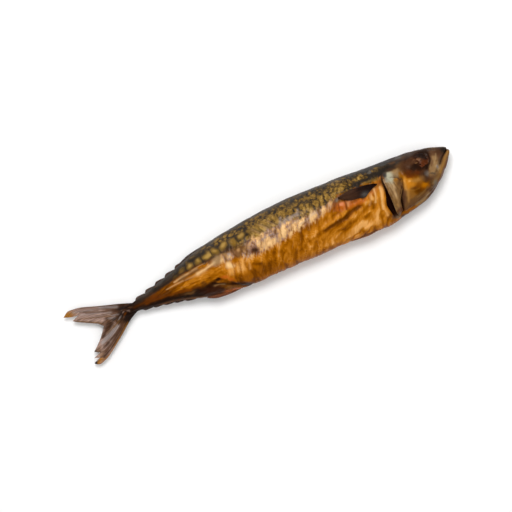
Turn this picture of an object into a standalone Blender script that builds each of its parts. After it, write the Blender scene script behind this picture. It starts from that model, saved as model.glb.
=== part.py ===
"""A whole hot-smoked mackerel lying on its left side, as one solid.

The fish lies along X with its snout at +X and its back at +Y, and its right flank
faces up, +Z. Every outline is stated in millimetres: along from the tip of the tail,
and up or down from the fish's own straight axis. The body is lofted through a few
named sections, the fins are thin plates joined to it, and the gill openings, mouth
and eye sockets are cut into both flanks. The underside is flattened where it rests
on the table, and the origin is at the middle of the fish's box, on the table.

Run with: blender --background --python part.py
"""

import math
from collections import namedtuple

import bmesh
import bpy
from mathutils import Vector

MM = 0.001

# Sections of the body, from the tail fin's root to the snout.
# back and belly are the edges above and below the axis, height is the mid-plane's
# height over the table.
Section = namedtuple("Section", "along back belly half_width height")
SECTIONS = (
    Section(42.0, -0.6, -0.8, 0.0, 8.4),  # inside the root of the tail fin
    Section(47.0, 3.4, -3.8, 1.9, 8.7),  # tail root
    Section(57.0, 4.5, -4.1, 3.8, 9.2),  # wrist, the narrowest place
    Section(72.0, 7.8, -6.4, 5.4, 10.0),  # small finlets
    Section(95.0, 13.4, -11.7, 8.6, 11.6),  # first finlets
    Section(120.0, 20.0, -19.2, 12.2, 13.2),  # anal fin
    Section(145.0, 24.0, -23.2, 14.9, 14.4),  # vent
    Section(195.0, 27.0, -24.9, 17.2, 15.9),  # deepest back
    Section(240.0, 25.6, -26.3, 17.3, 16.0),  # behind the pectoral fins
    Section(272.0, 22.7, -28.2, 16.0, 15.2),  # throat
    Section(285.0, 21.6, -25.9, 15.0, 14.7),  # gill covers
    Section(300.0, 20.4, -23.6, 13.4, 14.2),  # cheeks
    Section(313.0, 18.6, -18.9, 11.0, 13.9),  # eyes
    Section(325.0, 15.7, -11.1, 7.6, 13.6),  # jaws
    Section(334.0, 12.6, -2.2, 4.3, 13.4),  # lips
    Section(338.4, 9.8, 3.8, 2.0, 13.3),  # rounding of the snout
    Section(340.0, 7.0, 6.0, 0.0, 13.3),  # tip of the snout
)
EGG = 0.10  # how much broader a section is towards the back than at the belly
RINGS_BODY, RINGS_HEAD = 52, 26
HEAD_FROM = 274.0
HEAD_RING_EASING = 0.35  # 0 spaces the head's rings evenly, more draws them to the snout
POINTS_ROUND = 34
WELD = 1e-3
SHARP_FROM_DEG = 40.0

# Tail fin: each lobe's smooth leading edge, then its ragged rear margin.
UPPER_LEADING = ((57.0, 3.6), (48.0, 7.2), (30.0, 13.5), (13.0, 19.4), (6.0, 20.1), (0.0, 17.0))
UPPER_MARGIN = ((6.2, 14.6), (12.2, 13.6), (5.4, 11.4), (8.6, 9.0), (23.6, 0.6))
FORK = (26.8, -3.0)
LOWER_MARGIN = ((20.0, -11.0), (10.6, -18.8), (15.2, -21.0), (8.4, -23.3), (13.2, -24.8), (7.0, -26.8))
LOWER_LEADING = ((7.2, -28.0), (11.5, -29.7), (18.0, -27.8), (35.0, -17.3), (50.0, -6.8), (57.0, -3.6))
LOBE_STEPS = 12
TAIL_THICK_ROOT, TAIL_THICK_TIP = 2.6, 1.1
TAIL_HEIGHT_ROOT, TAIL_HEIGHT_TIP = 9.0, 6.2

# Finlets: small swept triangles on the mid-plane, behind the last fins.
FINLET_LENGTH, FINLET_THICK, FINLET_ROOT_DEPTH = 7.5, 1.6, 1.6
FINLET_CREST = 0.75  # the finlet's height half way along, as a share of its rear's
FINLET_SWEEP = 0.8
BACK_FINLETS, BACK_FINLET_RISE = (64.5, 74.0, 84.0, 94.0, 104.0), 1.9
BELLY_FINLETS, BELLY_FINLET_RISE = (67.0, 75.5, 84.0, 92.5, 101.0), 0.9

# Fins that lie folded along the edges of the body: first and last place along it,
# how far they stand out, and their thickness.
FOLDED_FINS = (
    ("second_back_fin", 106.0, 128.0, 1, 0.7, 2.2),
    ("first_back_fin", 196.0, 238.0, 1, 0.7, 2.6),
    ("anal_fin", 108.0, 136.0, -1, 2.6, 3.4),
    ("pelvic_fins", 246.0, 266.0, -1, 0.6, 6.0),
)
FOLDED_ROOT_DEPTH, FOLDED_STEPS = 2.5, 6
FOLDED_SKEW = 0.7  # under 1 puts a folded fin's highest place nearer its rear

# Marks on the flank, as pairs of edges that run beside each other.
GILL_FRONT = ((280.6, 8.0), (280.2, 0.0), (280.4, -12.0), (281.2, -22.0))
GILL_REAR = ((280.2, 8.0), (278.6, 0.0), (275.0, -12.0), (275.8, -21.0))
CHEEK_FRONT = ((295.2, 4.0), (293.2, -8.0), (290.2, -17.0), (288.0, -22.2))
CHEEK_REAR = ((294.6, 4.0), (292.0, -8.0), (288.2, -17.0), (286.0, -21.6))
MOUTH_TOP = ((337.6, 8.4), (331.2, 3.6), (325.2, -2.8), (317.6, -9.6))
MOUTH_BOTTOM = ((338.2, 7.2), (332.0, 2.4), (325.9, -4.0), (318.0, -10.5))
PECTORAL_TOP = ((275.5, 8.8), (266.0, 10.8), (254.0, 11.4), (241.5, 9.8))
PECTORAL_BOTTOM = ((275.5, 5.0), (266.0, 2.6), (256.0, 2.4), (241.5, 8.2))
GILL_DEPTH, GROOVE_DEPTH, MOUTH_DEPTH = 7.0, 1.1, 1.8
PECTORAL_RISE, PECTORAL_ROOT_DEPTH = 0.7, 0.9
CLEAR_OF_SKIN = 4.0

# Eyes: a shallow round socket with a flattened, sunken ball.
EYE_ALONG, EYE_UP = 314.5, 8.6
SOCKET_RADIUS, SOCKET_DEPTH = 6.8, 1.9
EYEBALL_RADIUS, EYEBALL_FLATNESS, EYEBALL_SUNK = 5.9, 0.55, 3.3

SKIN_COLOUR = (0.36, 0.17, 0.03, 1.0)
SKIN_ROUGHNESS = 0.38


def steady_slopes(xs, ys):
    """Slopes for a cubic through the points that never overshoots them."""
    rises = [(ys[i + 1] - ys[i]) / (xs[i + 1] - xs[i]) for i in range(len(xs) - 1)]
    slopes = [rises[0]]
    for before, after in zip(rises, rises[1:]):
        slopes.append(0.0 if before * after <= 0 else 2 * before * after / (before + after))
    slopes.append(rises[-1])
    return slopes


def smooth_value(xs, ys, x):
    """The value at x of a steady cubic curve through the points."""
    x = min(max(x, xs[0]), xs[-1])
    i = next(k for k in range(len(xs) - 1) if x <= xs[k + 1])
    slopes = steady_slopes(xs, ys)
    span = xs[i + 1] - xs[i]
    t = (x - xs[i]) / span
    return (
        ys[i] * (1 + 2 * t) * (1 - t) ** 2
        + slopes[i] * span * t * (1 - t) ** 2
        + ys[i + 1] * t * t * (3 - 2 * t)
        + slopes[i + 1] * span * t * t * (t - 1)
    )


def along_curve(points, share):
    """A point on a smooth curve through the points, at a share of its run from 0 to 1."""
    steps = [i / (len(points) - 1) for i in range(len(points))]
    return tuple(smooth_value(steps, [p[k] for p in points], share) for k in range(2))


def section_at(along):
    """(back, belly, half width, height) of the body at a place along it."""
    xs = [s.along for s in SECTIONS]
    return tuple(smooth_value(xs, [s[k] for s in SECTIONS], along) for k in range(1, 5))


def skin_point(along, turn):
    """A point on the skin, in mm. turn is 0 on the back's ridge and 1/4 on the upper flank."""
    back, belly, half_width, height = section_at(along)
    angle = 2 * math.pi * turn
    up = (back + belly) / 2 + (back - belly) / 2 * math.cos(angle)
    out = half_width * math.sin(angle) * (1 + EGG * math.cos(angle))
    return Vector((along, up, max(height + out, 0.0)))


def flank_point(along, up, side, above):
    """A point over the flank in mm: side is 1 for the upper flank and -1 for the lower."""
    back, belly, half_width, height = section_at(along)
    cosine = (up - (back + belly) / 2) / max((back - belly) / 2, 1e-6)
    cosine = min(max(cosine, -1.0), 1.0)
    out = half_width * math.sqrt(1 - cosine * cosine) * (1 + EGG * cosine)
    skin = height + out if side > 0 else max(height - out, 0.0)
    return Vector((along, up, skin + side * above))


def flank_normal(along, up, side):
    """The direction straight out of the flank, which side picks as in flank_point."""
    reach = 0.5
    ahead, behind = (flank_point(along + d, up, side, 0.0).z for d in (reach, -reach))
    above, below = (flank_point(along, up + d, side, 0.0).z for d in (reach, -reach))
    return side * Vector((behind - ahead, below - above, 2 * reach)).normalized()


def new_object(name, bm, collection):
    """Closes the bmesh into a smooth-shaded object whose faces point out."""
    bmesh.ops.remove_doubles(bm, verts=bm.verts, dist=WELD)
    bmesh.ops.dissolve_degenerate(bm, edges=bm.edges, dist=WELD)
    bmesh.ops.recalc_face_normals(bm, faces=bm.faces)
    bmesh.ops.scale(bm, verts=bm.verts, vec=(MM, MM, MM))
    mesh = bpy.data.meshes.new(name)
    bm.to_mesh(mesh)
    bm.free()
    mesh.shade_smooth()
    mesh.set_sharp_from_angle(angle=math.radians(SHARP_FROM_DEG))
    obj = bpy.data.objects.new(name, mesh)
    collection.objects.link(obj)
    return obj


def unit_grid(across, up):
    """A bmesh grid with its own corners at (0, 0) and (1, 1)."""
    bm = bmesh.new()
    bmesh.ops.create_grid(bm, x_segments=across, y_segments=up, size=0.5)
    bmesh.ops.translate(bm, verts=bm.verts, vec=(0.5, 0.5, 0.0))
    return bm


def ring_place(share):
    """Where along the fish a ring stands: the rings are closer together on the head."""
    split = RINGS_BODY / (RINGS_BODY + RINGS_HEAD)
    if share < split:
        return SECTIONS[0].along + (HEAD_FROM - SECTIONS[0].along) * share / split
    rest = (share - split) / (1 - split)
    easing = rest + HEAD_RING_EASING * (math.sin(rest * math.pi / 2) - rest)
    return HEAD_FROM + (SECTIONS[-1].along - HEAD_FROM) * easing


def make_body(collection):
    """The body and head, lofted as one closed skin with a point at each end."""
    bm = unit_grid(RINGS_BODY + RINGS_HEAD, POINTS_ROUND)
    for vert in bm.verts:
        vert.co = skin_point(ring_place(vert.co.x), vert.co.y)
    return new_object("fish", bm, collection)


def make_plate(name, outline, thickness_at, height_at, collection):
    """A thin plate in the fish's mid-plane, from its outline in mm."""
    bm = bmesh.new()
    bm.faces.new([bm.verts.new((x, y, 0.0)) for x, y in outline])
    bm.normal_update()
    bmesh.ops.triangulate(bm, faces=bm.faces)
    made = bmesh.ops.extrude_face_region(bm, geom=bm.faces[:])
    raised = {v for v in made["geom"] if isinstance(v, bmesh.types.BMVert)}
    for vert in bm.verts:
        half = thickness_at(vert.co.x) / 2
        vert.co.z = height_at(vert.co.x) + (half if vert in raised else -half)
    return new_object(name, bm, collection)


def make_tail_fin(collection):
    """The forked tail fin, thick at its root and thin at its split ray tips."""
    shares = [i / LOBE_STEPS for i in range(LOBE_STEPS + 1)]
    outline = [along_curve(UPPER_LEADING, s) for s in shares]
    outline += [*UPPER_MARGIN, FORK, *LOWER_MARGIN]
    outline += [along_curve(LOWER_LEADING, s) for s in shares]
    root = UPPER_LEADING[0][0]

    def blend(tip, base):
        return lambda x: tip + (base - tip) * min(max(x / root, 0.0), 1.0)

    return make_plate(
        "tail_fin",
        outline,
        blend(TAIL_THICK_TIP, TAIL_THICK_ROOT),
        blend(TAIL_HEIGHT_TIP, TAIL_HEIGHT_ROOT),
        collection,
    )


def edge_at(along, side):
    """The height of the back's ridge (side 1) or of the belly's edge (side -1) over the axis."""
    return section_at(along)[0 if side > 0 else 1]


def mid_height(along):
    """The height of the mid-plane over the table."""
    return section_at(along)[3]


def make_finlet(name, along, side, rise, collection):
    """One small finlet, swept back towards the tail, with its root inside the body."""
    front, rear = along + FINLET_LENGTH / 2, along - FINLET_LENGTH / 2
    outline = (
        (front, edge_at(front, side) - side * FINLET_ROOT_DEPTH),
        (along, edge_at(along, side) + side * rise * FINLET_CREST),
        (rear, edge_at(rear, side) + side * rise),
        (rear + FINLET_SWEEP, edge_at(rear, side) - side * FINLET_ROOT_DEPTH),
    )
    return make_plate(name, outline, lambda x: FINLET_THICK, mid_height, collection)


def make_folded_fin(name, first, last, side, rise, thick, collection):
    """A fin folded down along the back or the belly, highest near its rear."""
    shares = [i / FOLDED_STEPS for i in range(FOLDED_STEPS + 1)]
    places = [first + (last - first) * s for s in shares]
    outer = [
        (x, edge_at(x, side) + side * rise * math.sin(math.pi * s**FOLDED_SKEW))
        for x, s in zip(places, shares)
    ]
    inner = [(x, edge_at(x, side) - side * FOLDED_ROOT_DEPTH) for x in reversed(places)]
    return make_plate(name, outer + inner, lambda x: thick, mid_height, collection)


def make_flank_patch(name, edge_a, edge_b, side, low, high, collection):
    """A slab that follows the flank between two edges, from low to high over the skin."""
    bm = unit_grid(7, 2)
    made = bmesh.ops.extrude_face_region(bm, geom=bm.faces[:])
    raised = {v for v in made["geom"] if isinstance(v, bmesh.types.BMVert)}
    for vert in bm.verts:
        a, b = along_curve(edge_a, vert.co.x), along_curve(edge_b, vert.co.x)
        x, y = (a[k] + (b[k] - a[k]) * vert.co.y for k in range(2))
        vert.co = flank_point(x, y, side, high if vert in raised else low)
    return new_object(name, bm, collection)


def make_ball(name, side, radius, flatness, above, collection):
    """A ball at the eye of one flank, flattened through the skin, its centre this far over it."""
    normal = flank_normal(EYE_ALONG, EYE_UP, side)
    bm = bmesh.new()
    bmesh.ops.create_uvsphere(bm, u_segments=20, v_segments=12, radius=radius)
    bmesh.ops.scale(bm, verts=bm.verts, vec=(1.0, 1.0, flatness))
    turn = Vector((0.0, 0.0, 1.0)).rotation_difference(normal).to_matrix()
    bmesh.ops.rotate(bm, verts=bm.verts, matrix=turn)
    centre = flank_point(EYE_ALONG, EYE_UP, side, 0.0) + above * normal
    bmesh.ops.translate(bm, verts=bm.verts, vec=centre)
    return new_object(name, bm, collection)


def make_fins(collection):
    """Every fin that is joined to the body."""
    make_tail_fin(collection)
    for side, word, places, rise in (
        (1, "back", BACK_FINLETS, BACK_FINLET_RISE),
        (-1, "belly", BELLY_FINLETS, BELLY_FINLET_RISE),
    ):
        for number, along in enumerate(places, 1):
            make_finlet(f"{word}_finlet_{number}", along, side, rise, collection)
    for name, first, last, side, rise, thick in FOLDED_FINS:
        make_folded_fin(name, first, last, side, rise, thick, collection)
    # The lower pectoral fin is pressed flat into the underside, so only the upper one stands out.
    make_flank_patch(
        "pectoral_fin", PECTORAL_TOP, PECTORAL_BOTTOM, 1, -PECTORAL_ROOT_DEPTH, PECTORAL_RISE, collection
    )


def make_cuts(collection):
    """Every cutter: gill openings, cheek grooves, mouth and eye sockets, on both flanks."""
    socket_ball = (SOCKET_RADIUS**2 + SOCKET_DEPTH**2) / (2 * SOCKET_DEPTH)
    for side, word in ((1, "upper"), (-1, "lower")):
        for name, front, rear, depth in (
            ("gill", GILL_FRONT, GILL_REAR, GILL_DEPTH),
            ("cheek", CHEEK_FRONT, CHEEK_REAR, GROOVE_DEPTH),
            ("mouth", MOUTH_TOP, MOUTH_BOTTOM, MOUTH_DEPTH),
        ):
            make_flank_patch(f"{word}_{name}_cut", front, rear, side, -depth, CLEAR_OF_SKIN, collection)
        make_ball(f"{word}_socket_cut", side, socket_ball, 1.0, socket_ball - SOCKET_DEPTH, collection)


def make_eyes(collection):
    """The two sunken eyeballs."""
    for side, word in ((1, "upper"), (-1, "lower")):
        make_ball(f"{word}_eye", side, EYEBALL_RADIUS, EYEBALL_FLATNESS, -EYEBALL_SUNK, collection)


def make_skin_material():
    """Glossy golden-brown smoked skin."""
    material = bpy.data.materials.new("smoked_skin")
    material.use_nodes = True
    shader = material.node_tree.nodes["Principled BSDF"]
    shader.inputs["Base Color"].default_value = SKIN_COLOUR
    shader.inputs["Roughness"].default_value = SKIN_ROUGHNESS
    shader.inputs["Metallic"].default_value = 0.0
    return material


def helper_collection(name):
    """A collection for shapes that only join or cut the fish."""
    collection = bpy.data.collections.new(name)
    bpy.context.scene.collection.children.link(collection)
    return collection


def apply_boolean(fish, collection, operation):
    """Joins or cuts the fish with every object of a helper collection."""
    for obj in collection.objects:
        obj.hide_render = True
        obj.display_type = "WIRE"
        modifier = fish.modifiers.new(obj.name, "BOOLEAN")
        modifier.operation = operation
        modifier.solver = "EXACT"
        modifier.object = obj


def stand_on_origin(fish, parent):
    """Moves the fish, with its helpers, so that its box stands centred on the origin."""
    bpy.context.view_layer.update()
    evaluated = fish.evaluated_get(bpy.context.evaluated_depsgraph_get())
    points = [evaluated.matrix_world @ v.co for v in evaluated.data.vertices]
    low = [min(p[k] for p in points) for k in range(3)]
    high = [max(p[k] for p in points) for k in range(3)]
    parent.location = (-(low[0] + high[0]) / 2, -(low[1] + high[1]) / 2, -low[2])
    bpy.context.view_layer.update()


def main():
    """Clears the scene and builds the fish."""
    for obj in list(bpy.data.objects):
        bpy.data.objects.remove(obj)
    scene = bpy.context.scene.collection
    fish = make_body(scene)
    fish.data.materials.append(make_skin_material())
    fins, cuts, eyes = (helper_collection(name) for name in ("fins", "cuts", "eyes"))
    make_fins(fins)
    make_cuts(cuts)
    make_eyes(eyes)
    apply_boolean(fish, fins, "UNION")
    apply_boolean(fish, cuts, "DIFFERENCE")
    apply_boolean(fish, eyes, "UNION")
    place = bpy.data.objects.new("fish_place", None)
    scene.objects.link(place)
    for obj in (fish, *fins.objects, *cuts.objects, *eyes.objects):
        obj.parent = place
    stand_on_origin(fish, place)


main()
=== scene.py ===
"""Looks of a whole hot-smoked mackerel that lies on its left flank.

The fish lies along X, with its snout at +X and its back at +Y, and its right flank is
up. Its sizes are in millimetres: along from the tip of the tail, up from its straight
axis, out from its skin. Fields over the skin, such as relief, bars and tones, are worked
out for all points at once and kept as attributes that the finishes read.
"""

from __future__ import annotations

import logging
import math
from dataclasses import dataclass, field
from enum import Enum, IntEnum
from typing import ClassVar, Sequence

import bmesh
import bpy
import numpy as np
from bpy.types import Material, Node, NodeSocket, NodeTree, Object
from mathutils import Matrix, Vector


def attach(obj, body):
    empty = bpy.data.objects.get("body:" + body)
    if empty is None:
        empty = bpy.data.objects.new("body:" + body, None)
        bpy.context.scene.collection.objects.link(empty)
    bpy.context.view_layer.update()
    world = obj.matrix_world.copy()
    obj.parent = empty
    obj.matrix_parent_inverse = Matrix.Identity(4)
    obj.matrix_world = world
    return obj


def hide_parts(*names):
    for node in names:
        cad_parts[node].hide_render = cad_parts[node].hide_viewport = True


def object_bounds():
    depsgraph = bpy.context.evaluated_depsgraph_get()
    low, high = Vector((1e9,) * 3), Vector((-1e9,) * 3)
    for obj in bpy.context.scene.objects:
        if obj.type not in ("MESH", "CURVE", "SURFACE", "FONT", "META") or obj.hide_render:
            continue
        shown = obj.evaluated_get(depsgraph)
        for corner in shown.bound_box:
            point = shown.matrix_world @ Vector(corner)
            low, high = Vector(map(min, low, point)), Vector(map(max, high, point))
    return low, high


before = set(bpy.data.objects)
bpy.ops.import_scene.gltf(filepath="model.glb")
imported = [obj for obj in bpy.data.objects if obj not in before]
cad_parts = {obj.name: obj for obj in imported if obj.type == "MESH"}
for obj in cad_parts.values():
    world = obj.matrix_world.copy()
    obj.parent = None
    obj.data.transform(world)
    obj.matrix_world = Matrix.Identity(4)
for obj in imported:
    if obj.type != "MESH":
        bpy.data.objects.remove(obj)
CAD_LOW, CAD_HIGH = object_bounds()

MM = 0.001
BODY = "root"
WELD = 1e-6
CELL_SHIFT, CELL_STEEPNESS, VALLEY_STEEPNESS = 0.34, 1.8, 2.6
Array = np.ndarray
Pair = tuple[Array, Array]
Curve = Sequence[tuple[float, float]]
Fields = dict[str, Array]
log = logging.getLogger("smoked_fish")


class Flank(IntEnum):
    """A flank of the fish. The right one is up, and the left one lies on the table."""

    UPPER = 1
    LOWER = -1

    @property
    def word(self) -> str:
        """The flank's word in the names of pieces."""
        return "right" if self is Flank.UPPER else "left"


class Edge(IntEnum):
    """The edge of the body that a fin stands on."""

    BACK = 1
    BELLY = -1


# ---- curves and noise


def ease(low: float, high: float, value: Array) -> Array:
    """Smooth step from 0 at low to 1 at high, which may be the smaller of the two."""
    t = np.clip((value - low) / (high - low), 0.0, 1.0)
    return t * t * (3 - 2 * t)


def bell(value: Array, width: float) -> Array:
    """A smooth bump: 1 at zero, and nearly nothing at twice the width."""
    return np.exp(-((value / width) ** 2))


def steady_curve(xs: Sequence[float], ys: Sequence[float], x: Array) -> Array:
    """Reads a smooth curve that never overshoots its points.

    Args:
        xs: places of the points, rising.
        ys: values at those places.
        x: where to read the curve.

    Returns:
        The curve's values at x.
    """
    px, py = np.asarray(xs, float), np.asarray(ys, float)
    rise = np.diff(py) / np.diff(px)
    same_way = rise[:-1] * rise[1:] > 0
    total = np.where(same_way, rise[:-1] + rise[1:], 1.0)
    inner = np.where(same_way, 2 * rise[:-1] * rise[1:] / total, 0.0)
    slope = np.concatenate([rise[:1], inner, rise[-1:]])
    x = np.clip(x, px[0], px[-1])
    i = np.clip(np.searchsorted(px, x, side="left") - 1, 0, len(px) - 2)
    span = px[i + 1] - px[i]
    t = (x - px[i]) / span
    return (
        py[i] * (1 + 2 * t) * (1 - t) ** 2
        + slope[i] * span * t * (1 - t) ** 2
        + py[i + 1] * t * t * (3 - 2 * t)
        + slope[i + 1] * span * t * t * (t - 1)
    )


def curve_at(points: Curve, share: Array) -> tuple[Array, ...]:
    """Places on a smooth curve through points, at shares of its run from 0 to 1."""
    steps = np.linspace(0.0, 1.0, len(points))
    return tuple(steady_curve(steps, values, share) for values in zip(*points))


def line_at(points: Curve, share: Array) -> tuple[Array, ...]:
    """Places on straight runs through points, at shares of its run from 0 to 1."""
    steps = np.linspace(0.0, 1.0, len(points))
    return tuple(np.interp(share, steps, values) for values in zip(*points))


def along_curve(points: Curve, along: Array) -> Array:
    """The value of a curve that runs along the fish, such as its height, at places along it."""
    places, values = zip(*points)
    return steady_curve(places, values, along)


def across_curve(points: Curve, up: Array) -> Array:
    """How far along the fish a curve that runs from its back to its belly stands, by height."""
    places, heights = zip(*sorted(points, key=lambda point: point[1]))
    return steady_curve(heights, places, up)


def between_curves(first: Curve, second: Curve, u: Array, v: Array) -> Pair:
    """Places between two curves: u runs from the first to the second, v along them."""
    (ax, ay), (bx, by) = curve_at(first, v), curve_at(second, v)
    return ax + (bx - ax) * u, ay + (by - ay) * u


def on_table(points: Array) -> Array:
    """Points in mm, with those under the table raised onto it."""
    points[:, 2] = np.maximum(points[:, 2], 0.0)
    return points


def distance_to(points: Curve, along: Array, up: Array) -> Array:
    """How far each place is from a smooth curve.

    Args:
        points: the curve's points, in mm.
        along: places along the fish, in mm.
        up: places above the axis, in mm.

    Returns:
        The distance in mm, positive on the right of the curve as it runs.
    """
    xs, ys = curve_at(points, np.linspace(0.0, 1.0, 4 * len(points)))
    nearest = np.full(along.shape, np.inf)
    hand = np.ones(along.shape)
    for ax, ay, bx, by in zip(xs, ys, xs[1:], ys[1:]):
        dx, dy = bx - ax, by - ay
        t = np.clip(((along - ax) * dx + (up - ay) * dy) / (dx * dx + dy * dy), 0.0, 1.0)
        ox, oy = along - ax - t * dx, up - ay - t * dy
        gap = np.hypot(ox, oy)
        closer = gap < nearest
        nearest = np.where(closer, gap, nearest)
        hand = np.where(closer, np.sign(ox * dy - oy * dx), hand)
    return nearest * hand


@dataclass(frozen=True)
class Grain:
    """Smooth noise over space that comes out the same each time."""

    seed: int
    size: int = 4096
    hash_factors: tuple[int, int, int] = (73856093, 19349663, 83492791)

    def lattice(self, cell: Sequence[Array]) -> Array:
        """The noise's own values at whole-numbered places.

        Args:
            cell: whole-numbered places, one array for each axis.

        Returns:
            Values from -1 to 1.
        """
        table = np.random.default_rng(self.seed).uniform(-1.0, 1.0, self.size)
        keys = [c * factor for c, factor in zip(cell, self.hash_factors)]
        return table[(keys[0] ^ keys[1] ^ keys[2]) % self.size]

    def at(self, x: Array, y: Array, z: Array | float = 0.0) -> Array:
        """Smooth noise, with features about one unit wide.

        Args:
            x, y, z: places, in the noise's own units.

        Returns:
            Values from about -1 to 1.
        """
        spot = [np.asarray(a, float) + 0.0 * x for a in (x, y, z)]
        cell = [np.floor(a).astype(np.int64) for a in spot]
        part = [a - c for a, c in zip(spot, cell)]
        part = [a**3 * (a * (a * 6 - 15) + 10) for a in part]
        total = np.zeros(np.shape(x))
        for corner in range(8):
            step = [corner >> k & 1 for k in range(3)]
            value = self.lattice([c + s for c, s in zip(cell, step)])
            for share, s in zip(part, step):
                value = value * (share if s else 1 - share)
            total += value
        return total

    def rough(self, x: Array, y: Array, z: Array | float = 0.0, octaves: int = 3) -> Array:
        """Noise with finer noise on it, each octave half as wide and half as strong."""
        return sum(
            self.at(x * 2**n + 31.7 * n, y * 2**n, z * 2**n) / 2**n for n in range(octaves)
        )

    def folded(self, x: Array, y: Array, z: Array | float = 0.0) -> Array:
        """Broad swells between narrow valleys: 0 in a valley and 1 on a swell."""
        return np.minimum(np.abs(self.at(x, y, z)) * VALLEY_STEEPNESS, 1.0)

    def cells(self, x: Array, y: Array) -> Array:
        """Rounded cells about one unit wide, in rows that are set off by half a cell.

        Args:
            x, y: places, in cells.

        Returns:
            Values from 0 on the walls between cells to 1 inside them.
        """
        column, row = (np.floor(a).astype(np.int64) for a in (x, y))
        nearest, second = np.full(x.shape, np.inf), np.full(x.shape, np.inf)
        for place in range(9):
            i, j = column + place % 3 - 1, row + place // 3 - 1
            shift = [CELL_SHIFT * self.lattice((i, j, np.full_like(i, k))) for k in range(2)]
            gap = np.hypot(x - i - 0.25 - 0.5 * (j % 2) - shift[0], y - j - 0.5 - shift[1])
            second = np.minimum(second, np.maximum(nearest, gap))
            nearest = np.minimum(nearest, gap)
        return np.clip((second - nearest) * CELL_STEEPNESS, 0.0, 1.0)


# ---- the fish's form


@dataclass(frozen=True)
class Section:
    """One cross-section of the body. Back and belly are its edges above the axis, in mm."""

    along: float
    back: float
    belly: float
    half_width: float
    height: float


@dataclass(frozen=True)
class BodyForm:
    """The body's smooth form, without relief, and its place on the table."""

    sections: tuple[Section, ...] = (
        Section(42, -0.6, -0.8, 0, 8.4), Section(47, 3.2, -3.6, 1.1, 8.7),
        Section(57, 4.5, -4.1, 3.8, 9.2), Section(72, 7.8, -6.4, 5.4, 10),
        Section(95, 13.4, -11.7, 8.6, 11.6), Section(120, 20, -19.2, 12.2, 13.2),
        Section(145, 24, -23.2, 14.9, 14.4), Section(195, 27, -24.9, 17.2, 15.9),
        Section(240, 25.6, -26.3, 17.3, 16), Section(272, 22.7, -28.2, 16, 15.2),
        Section(285, 21.6, -25.9, 15, 14.7), Section(300, 20.4, -23.6, 13.4, 14.2),
        Section(313, 18.6, -18.9, 11, 13.9), Section(325, 15.7, -11.1, 7.6, 13.6),
        Section(334, 12.6, -2.2, 4.3, 13.4), Section(338.4, 9.8, 3.8, 2, 13.3),
        Section(340, 7, 6, 0, 13.3),
    )
    egg: float = 0.10
    lowest_under_axis: float = 29.61

    @property
    def ends(self) -> tuple[float, float]:
        """Where the body starts and ends along the fish."""
        return self.sections[0].along, self.sections[-1].along

    def value(self, name: str, along: Array) -> Array:
        """One measure of the cross-section, such as its back, at places along the fish."""
        places = [s.along for s in self.sections]
        return steady_curve(places, [getattr(s, name) for s in self.sections], along)

    def skin(self, along: Array, turn: Array) -> Array:
        """Points on the smooth skin.

        Args:
            along: places along the fish.
            turn: ways round it, 0 on the back and 1/4 on the upper flank.

        Returns:
            The points, in mm.
        """
        back, belly = self.value("back", along), self.value("belly", along)
        angle = 2 * np.pi * turn
        up = (back + belly) / 2 + (back - belly) / 2 * np.cos(angle)
        out = self.value("half_width", along) * np.sin(angle) * (1 + self.egg * np.cos(angle))
        height = np.maximum(self.value("height", along) + out, 0.0)
        return np.stack([along, up, height], axis=-1)

    def normal(self, along: Array, turn: Array) -> Array:
        """Directions straight out of the skin.

        Args:
            along, turn: places as skin takes them.

        Returns:
            Unit vectors.
        """
        step_along, step_turn = 0.4, 0.003
        ahead = self.skin(along + step_along, turn) - self.skin(along - step_along, turn)
        around = self.skin(along, turn + step_turn) - self.skin(along, turn - step_turn)
        out = np.cross(around, ahead)
        size = np.linalg.norm(out, axis=-1, keepdims=True)
        return out / np.maximum(size, 1e-9)

    def turn_at(self, along: Array, up: Array, flank: Flank) -> Array:
        """Which way round the body some places on one flank are.

        Args:
            along, up: the places, in mm.
            flank: which flank they are on.

        Returns:
            Ways round the body, as skin takes them.
        """
        back, belly = self.value("back", along), self.value("belly", along)
        share = (up - (back + belly) / 2) / np.maximum((back - belly) / 2, 1e-6)
        turn = np.arccos(np.clip(share, -1.0, 1.0)) / (2 * np.pi)
        return turn if flank is Flank.UPPER else 1 - turn

    def over(self, along: Array, up: Array, flank: Flank, above: Array | float) -> Array:
        """Points over one flank.

        Args:
            along, up: the places, in mm.
            flank: which flank they are on.
            above: how far over the skin, in mm.

        Returns:
            The points, in mm.
        """
        turn = self.turn_at(along, up, flank)
        lift = np.broadcast_to(np.asarray(above, float), along.shape)
        return self.skin(along, turn) + self.normal(along, turn) * lift[..., None]

    def girth(self, along: Array, turn: Array) -> Array:
        """The way round the skin from the back's ridge.

        Args:
            along, turn: places as skin takes them.

        Returns:
            The way in mm, negative on the lower flank.
        """
        steps = 20
        reach = np.where(turn <= 0.5, turn, turn - 1)
        last, total = self.skin(along, 0 * turn), np.zeros(along.shape)
        for n in range(1, steps + 1):
            here = self.skin(along, reach * n / steps)
            total += np.linalg.norm(here - last, axis=-1)
            last = here
        return total * np.sign(reach)

    def to_row(self, points: Array) -> Array:
        """Turns points of the fish, in mm, into places in the object's frame, in metres."""
        low = np.array([CAD_LOW.x, CAD_LOW.y + self.lowest_under_axis * MM, CAD_LOW.z])
        return points * MM + low


FORM = BodyForm()


# ---- tones and painting


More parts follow.
